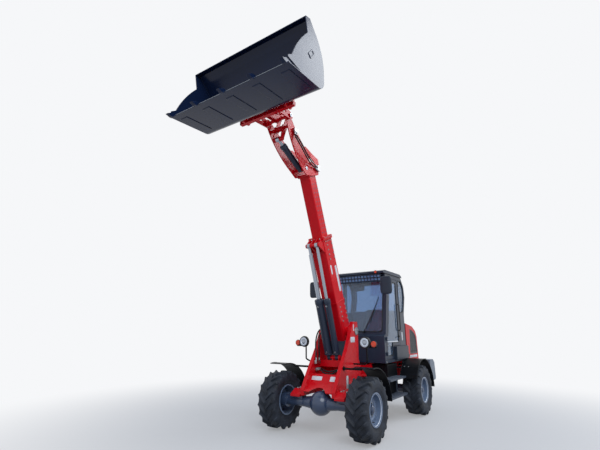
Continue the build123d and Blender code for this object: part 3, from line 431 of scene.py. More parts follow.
def tyre_shape(centre):
    """Rings of points round the wheel, from one bead over the tread to the other.

    Each point has r = carcass + lug_height·share·flank and t = pitch·k + mark - slant·|x| - lug_turn, at
    y = r·cos t, z = r·sin t. The lugs of the other side stand half a pitch further."""
    pitch = 360 / lug_pitches
    turn = (np.arange(lug_pitches)[:, None] * pitch + flank_marks).ravel()
    lift = {1: np.tile(flank, lug_pitches)}
    lift[-1] = np.interp((turn - pitch / 2) % pitch, np.r_[flank_marks - 0.2, pitch], np.r_[flank, flank[0]])
    rows = [(side, *row) for side in (1, -1) for row in (across[::-1] if side == 1 else across[1:])]
    points = []
    for side, x, carcass, share in rows:
        slant = lug_slant * np.clip((x - slant_start) / slant_run, 0, 1)
        angle = np.radians(turn - slant - lug_turn)
        radius = carcass + lug_height * share * lift[side]
        points.append(np.c_[np.full(len(turn), side * x), radius * np.cos(angle), radius * np.sin(angle)])
    return np.concatenate(points) + centre, [face[::-1] for face in loop_faces(len(rows), len(turn))]


def tyre_material():
    """Carbon-black rubber: bluish black, with greyer dry dust in patches of 140 mm and a grain of 4 mm."""
    material, tree, shader, here = plain_material("carbon_black_tyre_rubber", {"Specular IOR Level": 0.3})
    patches = add_node(tree, "TexNoise", {"Scale": 7.0, "Detail": 6.0, "Roughness": 0.65}, here)
    spread = add_node(tree, "MapRange", {"From Min": 0.32, "From Max": 0.7}, {"Value": (patches, "Fac")})
    colour = mixed_colour(tree, spread, "Result", "#12161d", "#343a45")
    rough = add_node(tree, "MapRange", {"To Min": 0.5, "To Max": 0.78}, {"Value": (patches, "Fac")})
    grain = add_node(tree, "TexNoise", {"Scale": 260.0, "Detail": 3.0}, here)
    bump = add_node(tree, "Bump", {"Strength": 0.3, "Distance": 0.001}, {"Height": (grain, "Fac")})
    wire(tree, shader, links={
        "Base Color": (colour, 2), "Roughness": (rough, "Result"), "Normal": (bump, "Normal")})
    return material


tyre_rubber = tyre_material()
wheels = [(axle, side_name, side, np.array([side * track_half, y, axle_height]))
          for axle, y in axles for side_name, side in sides]
for axle, side_name, side, centre in wheels:
    tyre = mesh_from(f"lugged_tyre_{axle}_{side_name}", *tyre_shape(centre))
    tyre.data.materials.append(tyre_rubber)
    tyre.data.set_sharp_from_angle(angle=np.radians(48))
    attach(tyre, f"{axle}_{side_name}_wheel")
    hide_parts(f"tyre_{axle}_{side_name}")

# Wheels: pressed steel discs in dished rims, sprayed silver, held by eight nuts on studs.
# A planetary hub with a domed cap stands out of each disc, and the rim's lip is painted pale silver as a
# painted highlight.
rim_paint = sprayed_paint("silver_rim_paint", "#5b6b84", "#6a7a92", "#5b5c5f", 0.28, 0.35,
                          dust_top=0.3, chip="#5a4a42")
# The lip's pale silver is a painted highlight on the rim's rounded edge; its dust and chips are real wear.
rim_lip_highlight = sprayed_paint("rim_lip_painted_highlight", "#c3ccd8", "#d3dae4", "#8b8f96", 0.24, 0.4,
                           dust_top=0.3, chip="#7a7d83")
stud_circle = 0.0835


def turned_ring(centre, direction, profile, count=48):
    """A profile turned as in turned_shape, with its last ring joined to its first and no end faces."""
    return turned_shape(centre, direction, profile, count)[0], loop_faces(len(profile), count)


for axle, side_name, side, centre in wheels:
    wheel, outward = f"{axle}_{side_name}_wheel", (side, 0, 0)
    dress(rim_paint, f"rim_{axle}_{side_name}")
    fitted(f"rim_lip_{axle}_{side_name}", wheel, rim_lip_highlight, turned_ring(centre, outward, [
        (0.1262, 0.2205), (0.1292, 0.2190), (0.1300, 0.2150), (0.1292, 0.2060), (0.1262, 0.1985),
        (0.1225, 0.1945), (0.1180, 0.1930), (0.1180, 0.1990), (0.1225, 0.2040), (0.1240, 0.2130)], 96))
    studs = np.radians(np.arange(8) * 45 + 22.5)
    ring = stud_circle * np.c_[np.cos(studs), np.sin(studs)]
    nuts = centre + np.c_[np.full(8, side * 0.0522), ring]
    bolts(f"wheel_nuts_{axle}_{side_name}", wheel, nuts, outward, 0.0125)
    fitted(f"hub_cap_{axle}_{side_name}", f"{axle}_frame", casting, turned_shape(
        centre + (side * 0.0845, 0, 0), outward, [
            (-0.012, 0.050), (0.0005, 0.052), (0.003, 0.050), (0.009, 0.046), (0.015, 0.036),
            (0.019, 0.020), (0.020, 0.004)], 36))
    fitted(f"valve_stem_{axle}_{side_name}", wheel, hose_rubber, turned_shape(
        centre + (side * 0.060, 0.0, -0.165), (side, 0, 0.25), [
            (0, 0.005), (0.03, 0.004), (0.031, 0.005), (0.04, 0.005)], 12))

# Mudguards, tanks and lamp stalks: black moulded polyethylene and black powder coat.
# The plastic shows a fine leather grain, and each mudguard is bolted to its steel arms.
black_plastic = sprayed_paint("black_moulded_polyethylene", "#07090d", "#0d1016", "#2a2c31", 0.34, 0.0, 1.2,
                              chip="#22252b", gloss=0.12)
dress(black_plastic, "front_mudguards", "rear_mudguards", "side_tanks", "lamp_stalks", "seat_base",
      "steering_column")
guard_edges = (0.594, 0.896)
guard_radius, arm_radius, lip_radius = 0.5375, 0.517, 0.0065


def rolled_rims(x_low, x_high, centre, radius, angle_low, angle_high, steps=40):
    """Two round beads along a mudguard's edges, carried along an arc in the side view.

    Each point is x + lip·cos b across, and centre + (radius + lip·sin b)·(cos t, sin t) in the side view."""
    turn = np.radians(np.linspace(angle_low, angle_high, steps))[:, None]
    bead = np.linspace(0, 2 * np.pi, 10, endpoint=False)
    reach = radius + lip_radius * np.sin(bead)
    y, z = centre[0] + np.cos(turn) * reach, centre[1] + np.sin(turn) * reach
    rims = [np.stack([np.broadcast_to(x + lip_radius * np.cos(bead), y.shape), y, z], -1)
            for x in (x_low, x_high)]
    return joined([(points, tube_faces(steps, 10)) for points in rims])


for (axle, y), first, last, arms, face_x in (  # the mudguard's arc and its arms in degrees, the frame's face
    (axles[0], 4, 100, (20, 70), 0.3002),
    (axles[1], 0, 155, (50, 130), 0.2902),
):
    for side_name, side in sides:
        edges = sorted(side * x for x in guard_edges)
        rims = rolled_rims(*edges, (y, axle_height), 0.533, first + 0.5, last - 0.5)
        fitted(f"mudguard_lip_{axle}_{side_name}", f"{axle}_frame", black_plastic, rims)
    arm_turns = np.radians(arms)
    rows = [(side * x, a) for side in (-1, 1) for x in (0.64, 0.72) for a in arm_turns]
    heads = [(x, y + guard_radius * np.cos(a), axle_height + guard_radius * np.sin(a)) for x, a in rows]
    ways = [(0, np.cos(a), np.sin(a)) for _, a in rows]
    bolts(f"mudguard_bolts_{axle}", f"{axle}_frame", heads, ways, 0.010)
    roots = [(side * face_x, y + arm_radius * np.cos(a), axle_height + arm_radius * np.sin(a))
             for side in (-1, 1) for a in arm_turns]
    flanges = [turned_shape(root, (np.sign(root[0]), 0, 0), [
        (0.0, 0.033), (0.006, 0.034), (0.010, 0.031), (0.011, 0.022), (0.030, 0.021), (0.034, 0.0155)], 28)
        for root in roots]
    fitted(f"mudguard_flanges_{axle}", f"{axle}_frame", black_plastic, joined(flanges))

# Lamps: round work lamps with a chromed bowl and a fluted ring lens, and orange indicators.
# Each lens is moulded polycarbonate, with flutes 8 mm apart on the white one, in a black housing.
lamp_black = sprayed_paint("black_lamp_housing", "#101215", "#181a1e", "#3d3c3a", 0.35, 0.2, 1.0)
dress(lamp_black, "headlamps")
orange = sprayed_paint("orange_polycarbonate_lens", "#e8421c", "#d93a17", "#a04a30", 0.18, 0.6, edge_mm=2.0)
dress(orange, "indicators")
white_lens, lens_tree, lens_shader, lens_here = plain_material("white_fluted_polycarbonate", {
    "Base Color": linear("#cdd4de"), "Roughness": 0.16, "Coat Weight": 0.8})
flutes = add_node(lens_tree, "TexWave", {"Scale": 40.0}, lens_here, bands_direction="X")
flute_bump = add_node(lens_tree, "Bump", {"Strength": 0.35, "Distance": 0.001}, {"Height": (flutes, "Fac")})
wire(lens_tree, lens_shader, links={"Normal": (flute_bump, "Normal")})
chrome = metal("hard_chrome", "#9aa1ac", 0.14)
for side_name, side in sides:
    headlamp, indicator = (side * 0.563, -0.7195, 1.279), (side * 0.700, -0.6735, 1.257)
    for name, material, centre, profile, count in (
        ("lamp_ring_lens", white_lens, headlamp, [
            (0.0, 0.069), (0.003, 0.069), (0.007, 0.064), (0.009, 0.056), (0.008, 0.044), (0.004, 0.037),
            (0.0, 0.035)], 48),
        ("lamp_bulb_dome", chrome, headlamp, [
            (0.0, 0.034), (0.003, 0.034), (0.006, 0.028), (0.010, 0.015), (0.011, 0.002)], 32),
        ("lamp_bezel", lamp_black, headlamp, [
            (-0.004, 0.080), (0.003, 0.0815), (0.007, 0.078), (0.006, 0.071), (0.0, 0.070)], 48),
        ("indicator_bezel", lamp_black, indicator, [
            (0.0, 0.046), (0.0, 0.0505), (0.014, 0.0505), (0.017, 0.048), (0.016, 0.0455)], 36),
        ("indicator_ribs", orange, (side * 0.700, -0.7041, 1.257), [
            (-0.002, 0.031), (0.0010, 0.030), (0.0006, 0.026), (-0.0004, 0.024), (0.0012, 0.020),
            (0.0008, 0.015), (0.0018, 0.010), (0.002, 0.002)], 28),
    ):
        lamp_part = turned_shape(centre, (0, -1, 0), profile, count)
        fitted(f"{name}_{side_name}", "front_frame", material, lamp_part)

# Cylinders: honed steel tubes sprayed anthracite, with hard chrome rods.
# A screwed gland and wiper close each tube, and welded ports take the steel oil pipes.
anthracite = sprayed_paint("anthracite_powder_coat", "#222b3b", "#2c374a", "#46484e", 0.30, 0.08, gloss=0.28)
dress(anthracite, "lift_barrel", "level_barrel", "tilt_barrel")
dress(chrome, "lift_rod", "level_rod", "tilt_rod")


def pipe_shape(points, radius, count=12):
    """A round pipe along points: each ring is the point + r·(cos t·u + sin t·v), square to the path."""
    points = np.asarray(points, float)
    along = np.gradient(points, axis=0)
    along /= np.linalg.norm(along, axis=1, keepdims=True)
    u = np.cross(along, (1.0, 0.03, 0.05))
    u /= np.linalg.norm(u, axis=1, keepdims=True)
    v = np.cross(along, u)
    turn = np.linspace(0, 2 * np.pi, count, endpoint=False)[None, :, None]
    rings = points[:, None] + radius * (np.cos(turn) * u[:, None] + np.sin(turn) * v[:, None])
    return rings.reshape(-1, 3), tube_faces(len(points), count)


def softened(corners, radius, closed=False, steps=6):
    """A path through corners, each replaced by a quadratic arc that starts at most radius from it.

    Each arc is (1 - s)²·a + 2s(1 - s)·corner + s²·b, with a and b on the runs beside the corner."""
    corners = np.asarray(corners, float)
    before = np.roll(corners, 1, axis=0) - corners
    after = np.roll(corners, -1, axis=0) - corners
    near, far = (np.linalg.norm(run, axis=1, keepdims=True) for run in (before, after))
    a = corners + before / near * np.minimum(radius, near * 0.48)
    b = corners + after / far * np.minimum(radius, far * 0.48)
    s = np.linspace(0, 1, steps)[None, :, None]
    arcs = (1 - s) ** 2 * a[:, None] + 2 * s * (1 - s) * corners[:, None] + s ** 2 * b[:, None]
    if closed:
        return arcs.reshape(-1, 3)
    return np.concatenate([corners[:1], arcs[1:-1].reshape(-1, 3), corners[-1:]])


def side_direction(start, end):
    """The unit vector between two (y, z) points."""
    run = np.array([0.0, end[0] - start[0], end[1] - start[1]])
    return run / np.linalg.norm(run)


boom_up, boom_over = np.array([0.0, -0.3665, 0.9304]), np.array([0.0, 0.9304, 0.3665])
boom_pivot = np.array([0.0, -0.450, 1.450])
cylinder_lug = boom_pivot + 1.538 * boom_up - 0.289 * boom_over
lift_foot, tilt_foot = (-0.695, 1.044), (-1.642, 3.966)
lift_along = side_direction(lift_foot, cylinder_lug[1:])
tilt_along = side_direction(tilt_foot, (-2.239, 4.246))
pipe_gap, stub_height = 0.028, 0.018
for name, x, radius, rod, gland, foot, along, clip_shares in (  # the gland is a distance along from the foot
    ("lift", -0.072, 0.070, 0.035, 0.950, lift_foot, lift_along, (0.33, 0.62)),
    ("level", 0.072, 0.050, 0.025, 0.950, lift_foot, lift_along, (0.33, 0.62)),
    ("tilt", 0.0, 0.050, 0.025, 0.535, tilt_foot, tilt_along, (0.5,)),
):
    start, barrel = np.array([x, *foot]), f"{name}_barrel"
    collar = turned_ring(start, along, [
        (gland - 0.075, radius - 0.001), (gland - 0.075, radius + 0.004), (gland - 0.072, radius + 0.006),
        (gland - 0.012, radius + 0.006), (gland - 0.006, radius + 0.003), (gland + 0.003, radius - 0.006),
        (gland + 0.004, rod + 0.010), (gland + 0.009, rod + 0.008), (gland + 0.012, rod + 0.003),
        (gland + 0.012, rod + 0.0008), (gland + 0.0015, rod + 0.0008)])
    weld = turned_ring(start, along, [
        (0.052, radius - 0.012), (0.055, radius + 0.001), (0.060, radius + 0.0035), (0.066, radius + 0.0035),
        (0.071, radius + 0.0005), (0.073, radius - 0.002)])
    fitted(f"{name}_gland", barrel, anthracite, joined([collar, weld]))
    normal = np.cross(along, (1, 0, 0))
    away = normal if name == "tilt" else -normal
    ports = [start + along * d + away * (radius - 0.003) for d in (0.105, gland - 0.105)]
    fitted(f"{name}_ports", barrel, zinc, joined([turned_shape(port, away, [
        (0, 0.015), (0.014, 0.015), (0.015, 0.012), (0.020, 0.0125), (0.024, 0.012), (0.025, 0.007)], 6)
        for port in ports]), smooth=False)
    run = [start + along * d + away * (radius + pipe_gap - 0.006) for d in (0.20, gland - 0.20)]
    path = softened([ports[0] + away * stub_height, ports[0] + away * pipe_gap, *run,
                     ports[1] + away * pipe_gap, ports[1] + away * stub_height], 0.03)
    fitted(f"{name}_oil_pipe", barrel, anthracite, pipe_shape(path, 0.0062))
    clips = [turned_ring(start + along * (gland * share), along, [
        (0, radius - 0.001), (0, radius + 0.002), (0.014, radius + 0.002), (0.014, radius - 0.001)])
        for share in clip_shares]
    fitted(f"{name}_pipe_clips", barrel, anthracite, joined(clips))

# Boom fittings: wear pads behind rows of set screws, a doubler plate round the pivot,
# dark countersunk screw heads along the inner tube as painted shade, and two blank strips of pale film a
# side.
wall_x, block_x, foot_x, inner_x = 0.1300, 0.1440, 0.1358, 0.0960
collar_rows = (1.555, 1.615)


def on_boom(x, s, t):
    """A place x across the machine, s up the boom from its pivot and t square to it."""
    return (x, *(boom_pivot + s * boom_up + t * boom_over)[1:])


side_rows = [on_boom(side * block_x, s, t - 0.012)
             for s in collar_rows for t in (-0.10, -0.05, 0.0, 0.05, 0.10) for side in (-1, 1)]
pad_rows = [on_boom(side * wall_x, s, t)
            for s in (1.25, 1.33, 1.41, 1.49) for t in (-0.055, 0.100) for side in (-1, 1)]
foot_rows = [on_boom(side * foot_x, s, t)
             for s in (0.20, 0.28, 0.36, 0.44) for t in (-0.070, 0.095) for side in (-1, 1)]
side_places = np.array(side_rows + pad_rows + foot_rows)
side_ways = np.c_[np.sign(side_places[:, 0]), np.zeros((len(side_places), 2))]
side_sizes = np.r_[np.full(len(side_rows), 0.0085), np.full(len(pad_rows) + len(foot_rows), 0.0115)]
bolts("wear_pad_screws", "boom", side_places, side_ways, side_sizes)
end_rows = [(on_boom(x, s, edge * 0.159 - 0.012), edge * boom_over)
            for s in collar_rows for x in (-0.08, -0.03, 0.03, 0.08) for edge in (-1, 1)]
bolts("wear_pad_end_screws", "boom", [place for place, _ in end_rows], [way for _, way in end_rows], 0.0085)


def plate_shape(outline, x_low, x_high):
    """A flat plate with a convex outline of (y, z) points, between two places across the machine."""
    outline = np.asarray(outline, float)
    count = len(outline)
    points = np.concatenate([np.c_[np.full(count, x), outline] for x in (x_low, x_high)])
    first, second, third = outline[:3]
    clockwise = (second - first)[0] * (third - second)[1] < (second - first)[1] * (third - second)[0]
    return points, [face[::-1] if clockwise else face for face in tube_faces(2, count)]


doubler = [on_boom(0, s, t)[1:] for s, t in (
    (-0.095, -0.120), (-0.095, 0.095), (0.0, 0.118), (0.540, 0.118), (0.505, -0.145), (0.0, -0.145))]
fitted("boom_doubler_plates", "boom", red_paint, joined([
    plate_shape(doubler, 0.1295, 0.1362), plate_shape(doubler, -0.1362, -0.1295)]), 0.0025)
# The screw heads take the dark casting paint as painted shade: it stands for the shaded dots along the tube.
inner_shade_screws = [turned_shape(on_boom(side * inner_x, s, t), (side, 0, 0), [
    (-0.0005, 0.0110), (0.0012, 0.0102), (0.0014, 0.0050), (0.0006, 0.004)], 10)
    for side in (-1, 1) for s in np.arange(1.70, 2.58, 0.074) for t in (-0.062, 0.008, 0.070)]
fitted("inner_boom_shade_screws", "telescope", casting, joined(inner_shade_screws))

pale_film, film_tree, film_shader, film_here = plain_material("blank_pale_film", {"Roughness": 0.3})
film_clouds = add_node(film_tree, "TexNoise", {"Scale": 30.0, "Detail": 5.0}, film_here)
film_colour = mixed_colour(film_tree, film_clouds, "Fac", "#c9ccd1", "#dcdee2")
wire(film_tree, film_shader, links={"Base Color": (film_colour, 2)})


def film(name, body, centre, u, v, normal, width, height, squareness, material=pale_film, thick=0.0012):
    """A blank film: a rounded rectangle on a face, standing a millimetre proud with a softened rim.

    Its outline is |x/a|ⁿ + |y/b|ⁿ = 1, where n is the squareness and a and b are half its sides."""
    turn = np.linspace(0, 2 * np.pi, 64, endpoint=False)
    x, y = (np.sign(wave) * np.abs(wave) ** (2 / squareness) for wave in (np.cos(turn), np.sin(turn)))
    flat = np.c_[x * width / 2, y * height / 2]
    u, v, normal = (np.asarray(axis, float) / np.linalg.norm(axis) for axis in (u, v, normal))
    rings = [np.asarray(centre) + share * (flat[:, :1] * u + flat[:, 1:] * v) + lift * normal
             for share, lift in ((1, -0.0006), (1, thick * 0.6), (1 - 0.0015 / min(width, height), thick))]
    turned = np.dot(np.cross(u, v), normal) < 0
    faces = [face[::-1] if turned else face for face in tube_faces(3, 64)]
    return fitted(name, body, material, (np.concatenate(rings), faces))


for side_name, side in sides:
    for name, s, t, width, height, squareness in (
        ("boom_strip", 0.893, 0.068, 0.062, 0.44, 9),
        ("boom_short_strip", 1.076, -0.086, 0.040, 0.155, 8),
    ):
        film(f"{name}_{side_name}", "boom", on_boom(side * (wall_x + 0.0001), s, t), boom_over, boom_up,
             (side, 0, 0), width, height, squareness)

# Pins: hardened steel with flanged retaining plates, the boom pivot's held by three bolts.
# They show at the boom pivot, the tilt linkage and the coupler.
pin_steel = metal("turned_pin_steel", "#8e9196", 0.28)
pivot_x, bolt_circle = 0.3002, 0.042
pivot_cap = [(0, 0.062), (0.006, 0.064), (0.010, 0.062), (0.012, 0.050), (0.013, 0.020), (0.010, 0.016),
             (0.010, 0.004)]
coupler_cap = [(-0.001, 0.030), (0.004, 0.032), (0.007, 0.029), (0.008, 0.012), (0.012, 0.010),
               (0.015, 0.005)]
head_cap = [(-0.001, 0.030), (0.004, 0.032), (0.007, 0.029), (0.008, 0.010), (0.011, 0.009), (0.014, 0.004)]
for name, body, profile, count, pins in (
    ("boom_pivot_caps", "front_frame", pivot_cap, 40, [(pivot_x, *boom_pivot[1:])]),
    ("coupler_pin_caps", "telescope", coupler_cap, 32, [(0.2465, -2.253, 4.572)]),
    ("head_pin_caps", "telescope", head_cap, 32, [(0.1705, -2.186, 4.448), (0.1185, *tilt_foot)]),
):
    caps = [turned_shape((side * x, y, z), (side, 0, 0), profile, count)
            for side in (-1, 1) for x, y, z in pins]
    fitted(name, body, pin_steel, joined(caps))
turns = [(side, a) for side in (-1, 1) for a in np.radians((35, 155, 275))]
bolts("boom_pivot_bolts", "front_frame", [
    (side * 0.311, boom_pivot[1] + bolt_circle * np.cos(a), boom_pivot[2] + bolt_circle * np.sin(a))
    for side, a in turns], [(side, 0, 0) for side, _ in turns], 0.009)

# Bucket: 10 mm wear-resistant plate, welded, bent and sprayed dark anthracite, with five teeth.
# Four wear plates are bolted along its lip between the teeth, scoured to a dull shine.
bucket_paint = sprayed_paint("dark_bucket_paint", "#0f1c38", "#162544", "#3a3e48", 0.20, 0.06,
                             chip="#8a8c8f", gloss=0.2)
dress(bucket_paint, "bucket", "bucket_teeth")
bright_edge = metal("scoured_edge_steel", "#8f969f", 0.30, 25.0)
lip, heel = np.array([-3.405, 4.384]), np.array([-2.757, 4.430])
floor_along = (heel - lip) / np.linalg.norm(heel - lip)
floor_up = np.array([-floor_along[1], floor_along[0]])
tooth_places, tooth_half = np.linspace(-0.974, 0.974, 5), 0.027
for name, outline, bevel in (  # (distance back from the lip, height over the floor's underside)
    ("bucket_wear_edge", [
        (0.000, 0.0103), (0.030, 0.0165), (0.118, 0.0165), (0.122, 0.0103), (0.122, 0.0100),
        (0.0, 0.0100)], 0.0015),
    ("bucket_cutting_edge", [
        (-0.0022, 0.0040), (-0.0022, 0.0094), (0.0006, 0.0094), (0.0006, 0.0040)], 0.0006),
):
    outline = np.array(outline)
    section = lip + outline[:, :1] * floor_along + outline[:, 1:] * floor_up
    fitted(name, "bucket", bright_edge, joined([
        plate_shape(section, left, right)
        for left, right in zip(tooth_places[:-1] + tooth_half, tooth_places[1:] - tooth_half)]), bevel)
edge_heads = [(x, *(lip + 0.078 * floor_along + 0.0165 * floor_up)) for x in np.linspace(-0.9, 0.9, 12)]
bolts("wear_edge_bolts", "bucket", edge_heads, (0, *floor_up), 0.012)

# Tower trim: blank white films, a silver strip and a white reflector on the red plates.
# They are self-adhesive sheets, left bare. The silver one is moulded in prisms 6 mm wide.
slope, down_slope = (0.0, -0.831, 0.556), (0.0, -0.556, -0.831)
silver_film, silver_tree, silver_shader, silver_here = plain_material("silver_reflective_film", {
    "Metallic": 0.5, "Roughness": 0.3})
prisms = add_node(silver_tree, "TexVoronoi", {"Scale": 160.0}, silver_here)
prism_colour = mixed_colour(silver_tree, prisms, "Distance", "#d6dade", "#a5aab0")
wire(silver_tree, silver_shader, links={"Base Color": (prism_colour, 2)})
for name, x, width, height in (
    ("apron_film_right", -0.135, 0.185, 0.066),
    ("apron_film_left", 0.160, 0.125, 0.080),
):
    film(name, "front_frame", (x, -0.9905, 0.7495), (1, 0, 0), down_slope, slope, width, height, 8)
for name, y, z, width, height, squareness, material in (
    ("tower_silver_strip", -0.812, 0.704, 0.072, 0.180, 9, silver_film),
    ("tower_reflector", -0.545, 1.505, 0.026, 0.105, 6, pale_film),
    ("tower_film", -0.590, 1.318, 0.150, 0.085, 8, pale_film),
):
    film(name, "front_frame", (0.3001, y, z), (0, 1, 0), (0, 0, 1), (1, 0, 0), width, height, squareness,
         material)

# Weld beads: laid by hand where the tower's plates, the boom's head plates and its pivot bosses meet.
# They are steel under the same red paint, rippled every few millimetres.
weld_ripple = 0.006


def weld_shape(points, radius):
    """A weld bead along points: a pipe whose radius swells and shrinks by an eighth at each ripple."""
    points = np.asarray(points, float)
    length = np.r_[0, np.cumsum(np.linalg.norm(np.diff(points, axis=0), axis=1))]
    count = int(length[-1] / weld_ripple * 2) + 2
    place = np.linspace(0, length[-1], count)
    path = np.stack([np.interp(place, length, points[:, axis]) for axis in range(3)], 1)
    shape, faces = pipe_shape(path, 1.0, 8)
    swell = radius * (1 + 0.12 * np.cos(np.pi * np.arange(count)))
    shape = path[:, None] + (shape.reshape(count, 8, 3) - path[:, None]) * swell[:, None, None]
    return shape.reshape(-1, 3), faces


tower_beads = [bead for x in (-0.2395, 0.2395) for bead in (
    ([(x, -0.9505, 0.811), (x, -1.0318, 0.6895), (x, -1.2125, 0.5840)], 0.0045),
    ([(x, -0.728, 0.995), (x, -0.600, 0.995)], 0.0045))]
tower_beads += [([(x, -0.727, 1.0005), (x, -0.656, 1.0005)], 0.004) for x in (-0.119, -0.010, 0.010, 0.119)]
tower_beads += [([(x, -1.119, 0.6003), (x, -0.981, 0.6003)], 0.0045) for x in (-0.3005, 0.3005)]
head_beads = [([on_boom(side * 0.1185, 2.6505, t) for t in (-0.112, 0.088)], 0.004) for side in (-1, 1)]
for name, body, beads in (
    ("tower_welds", "front_frame", tower_beads),
    ("head_welds", "telescope", head_beads),
):
    fitted(name, body, red_paint, joined([weld_shape(points, radius) for points, radius in beads]))
boss_welds = [turned_shape((side * 0.1295, *boom_pivot[1:]), (side, 0, 0), [
    (-0.001, 0.0745), (-0.001, 0.080), (0.002, 0.0815), (0.006, 0.079), (0.007, 0.0745)], 48)
    for side in (-1, 1)]
fitted("boom_pivot_welds", "boom", red_paint, joined(boss_welds))

# Cab: folded steel posts sprayed anthracite, with panes of tinted toughened glass.
# Black extruded rubber seals hold the panes and close the gap round the door.
dress(anthracite, "cab_frame", "cab_roof", "door_frame")
side_box_paint = sprayed_paint("black_side_box", "#232b38", "#2b3442", "#4a4946", 0.34, 0.05, 1.6,
                               gloss=0.25)
dress(side_box_paint, "cab_side_box")
glass, _, _, _ = plain_material("tinted_toughened_glass", {
    "Base Color": linear("#a3bedd"), "Roughness": 0.01, "IOR": 1.5, "Transmission Weight": 0.86})
dress(glass, "windscreen", "rear_window", "side_windows", "door_glass")
seal_rubber = rubber("extruded_glazing_rubber", "#0f1012", "#26272a", 0.42, 2.0)


def on_side(x, outline):
    """Side view points (y, z) in the plane at x, in metres."""
    outline = np.asarray(outline, float)
    return np.c_[np.full(len(outline), x), outline]


def seal_shape(corners, radius, bend):
    """A closed rubber bead through corners: a softened loop that carries a flattened round section."""
    path = softened(corners, bend, closed=True)
    along = np.roll(path, -1, axis=0) - np.roll(path, 1, axis=0)
    along /= np.linalg.norm(along, axis=1, keepdims=True)
    normal = np.linalg.svd(path - path.mean(axis=0))[2][2]
    u = np.cross(along, normal)
    u /= np.linalg.norm(u, axis=1, keepdims=True)
    v = np.cross(along, u)
    turn = np.linspace(0, 2 * np.pi, 10, endpoint=False)[None, :, None]
    rings = path[:, None] + radius * (np.cos(turn) * u[:, None] + 0.7 * np.sin(turn) * v[:, None])
    return rings.reshape(-1, 3), loop_faces(len(path), 10)


front_edge = [(0.5, 0.156, 1.440), (0.5, 0.288, 2.080), (0.5, 0.266, 2.400)]
rear_edge = [(0.48, 1.156, 1.830), (0.48, 1.241, 2.098), (0.48, 1.213, 2.301), (0.48, 1.148, 2.380)]
side_opening = [(.235, 1.440), (.360, 2.080), (.345, 2.400), (.790, 2.400), (.790, 1.440)]
quarter_opening = [(.885, 1.800), (.885, 2.400), (1.060, 2.400), (1.160, 2.280), (1.180, 2.100),
                   (1.085, 1.800)]
door_inner = [(.209, 1.034), (.209, 1.352), (.262, 1.394), (.403, 2.078), (.392, 2.342), (.772, 2.342),
              (.772, 1.253), (.452, 1.253), (.452, 1.034)]
door_outer = [(.154, .979), (.154, 1.388), (.219, 1.428), (.354, 2.080), (.339, 2.396), (.826, 2.396),
              (.826, 1.199), (.506, 1.199), (.506, .979)]
loops = [edge + [(-x, y, z) for x, y, z in edge[::-1]] for edge in (front_edge, rear_edge)]
loops += [on_side(-0.571, side_opening), on_side(-0.571, quarter_opening), on_side(0.571, quarter_opening)]
fitted("window_seals", "rear_frame", seal_rubber, joined([seal_shape(loop, 0.0095, 0.05) for loop in loops]))
fitted("door_seals", "door", seal_rubber, seal_shape(on_side(0.5665, door_inner), 0.008, 0.035))
fitted("door_gap_seal", "rear_frame", seal_rubber, seal_shape(on_side(0.5655, door_outer), 0.0042, 0.03))

# Wiper: a steel arm and rubber blade on a short shaft, low on the windscreen.
# It parks across the machine's left half of the glass.
screen_foot, screen_slope = (0.162, 1.400), 0.2059
wiper_rubber = rubber("wiper_rubber_and_steel", "#0d0e10", "#202124", 0.35, 2.0)


def on_screen(x, z, proud):
    """A place in front of the windscreen's outer face."""
    return (x, screen_foot[0] + (z - screen_foot[1]) * screen_slope - proud, z)


arm = softened([on_screen(0.160, 1.425, 0.004), on_screen(0.160, 1.425, 0.040),
                on_screen(0.235, 1.580, 0.036), on_screen(0.345, 1.830, 0.026)], 0.02)
blade = [on_screen(0.270, 1.600, 0.010), on_screen(0.345, 1.830, 0.012), on_screen(0.422, 2.055, 0.010)]
hub = turned_shape(on_screen(0.160, 1.425, 0.0), (0, -1, 0.2), [
    (-0.02, 0.018), (0.006, 0.018), (0.012, 0.014), (0.046, 0.012), (0.050, 0.006)], 20)
fitted("wiper", "rear_frame", wiper_rubber, joined([
    pipe_shape(arm, 0.0065, 8), pipe_shape(blade, 0.0075, 8), hub]))

# Roof fittings: a welded visor of steel bars with a blue polycarbonate sheet above the windscreen,
# rain gutters, lifting eyes, roof screws and two small orange lamps.
visor_rails = ((2.448, 0.158), (2.396, 0.176), (2.340, 0.196))
visor = [pipe_shape([(x, y, z) for x in np.linspace(-0.52, 0.52, 9)], 0.0095, 10) for z, y in visor_rails]
visor += [pipe_shape([(x, y, z) for z, y in visor_rails], 0.0085, 8) for x in np.linspace(-0.52, 0.52, 17)]
visor += [pipe_shape([(x, y, z), (x, y + 0.085, z + 0.004)], 0.008, 8)
          for x in (-0.52, 0.52) for z, y in visor_rails]
fitted("roof_visor", "rear_frame", anthracite, joined(visor))
visor_blue = sprayed_paint("blue_polycarbonate_sheet", "#6f94c6", "#81a5d4", "#8f98a4", 0.16, 0.3, 1.0,
                           edge_mm=1.0)
film("visor_sheet", "rear_frame", (0, 0.190, 2.393), (1, 0, 0), (0, -0.038, 0.108), (0, -0.108, -0.038),
     1.03, 0.106, 12, visor_blue, 0.003)

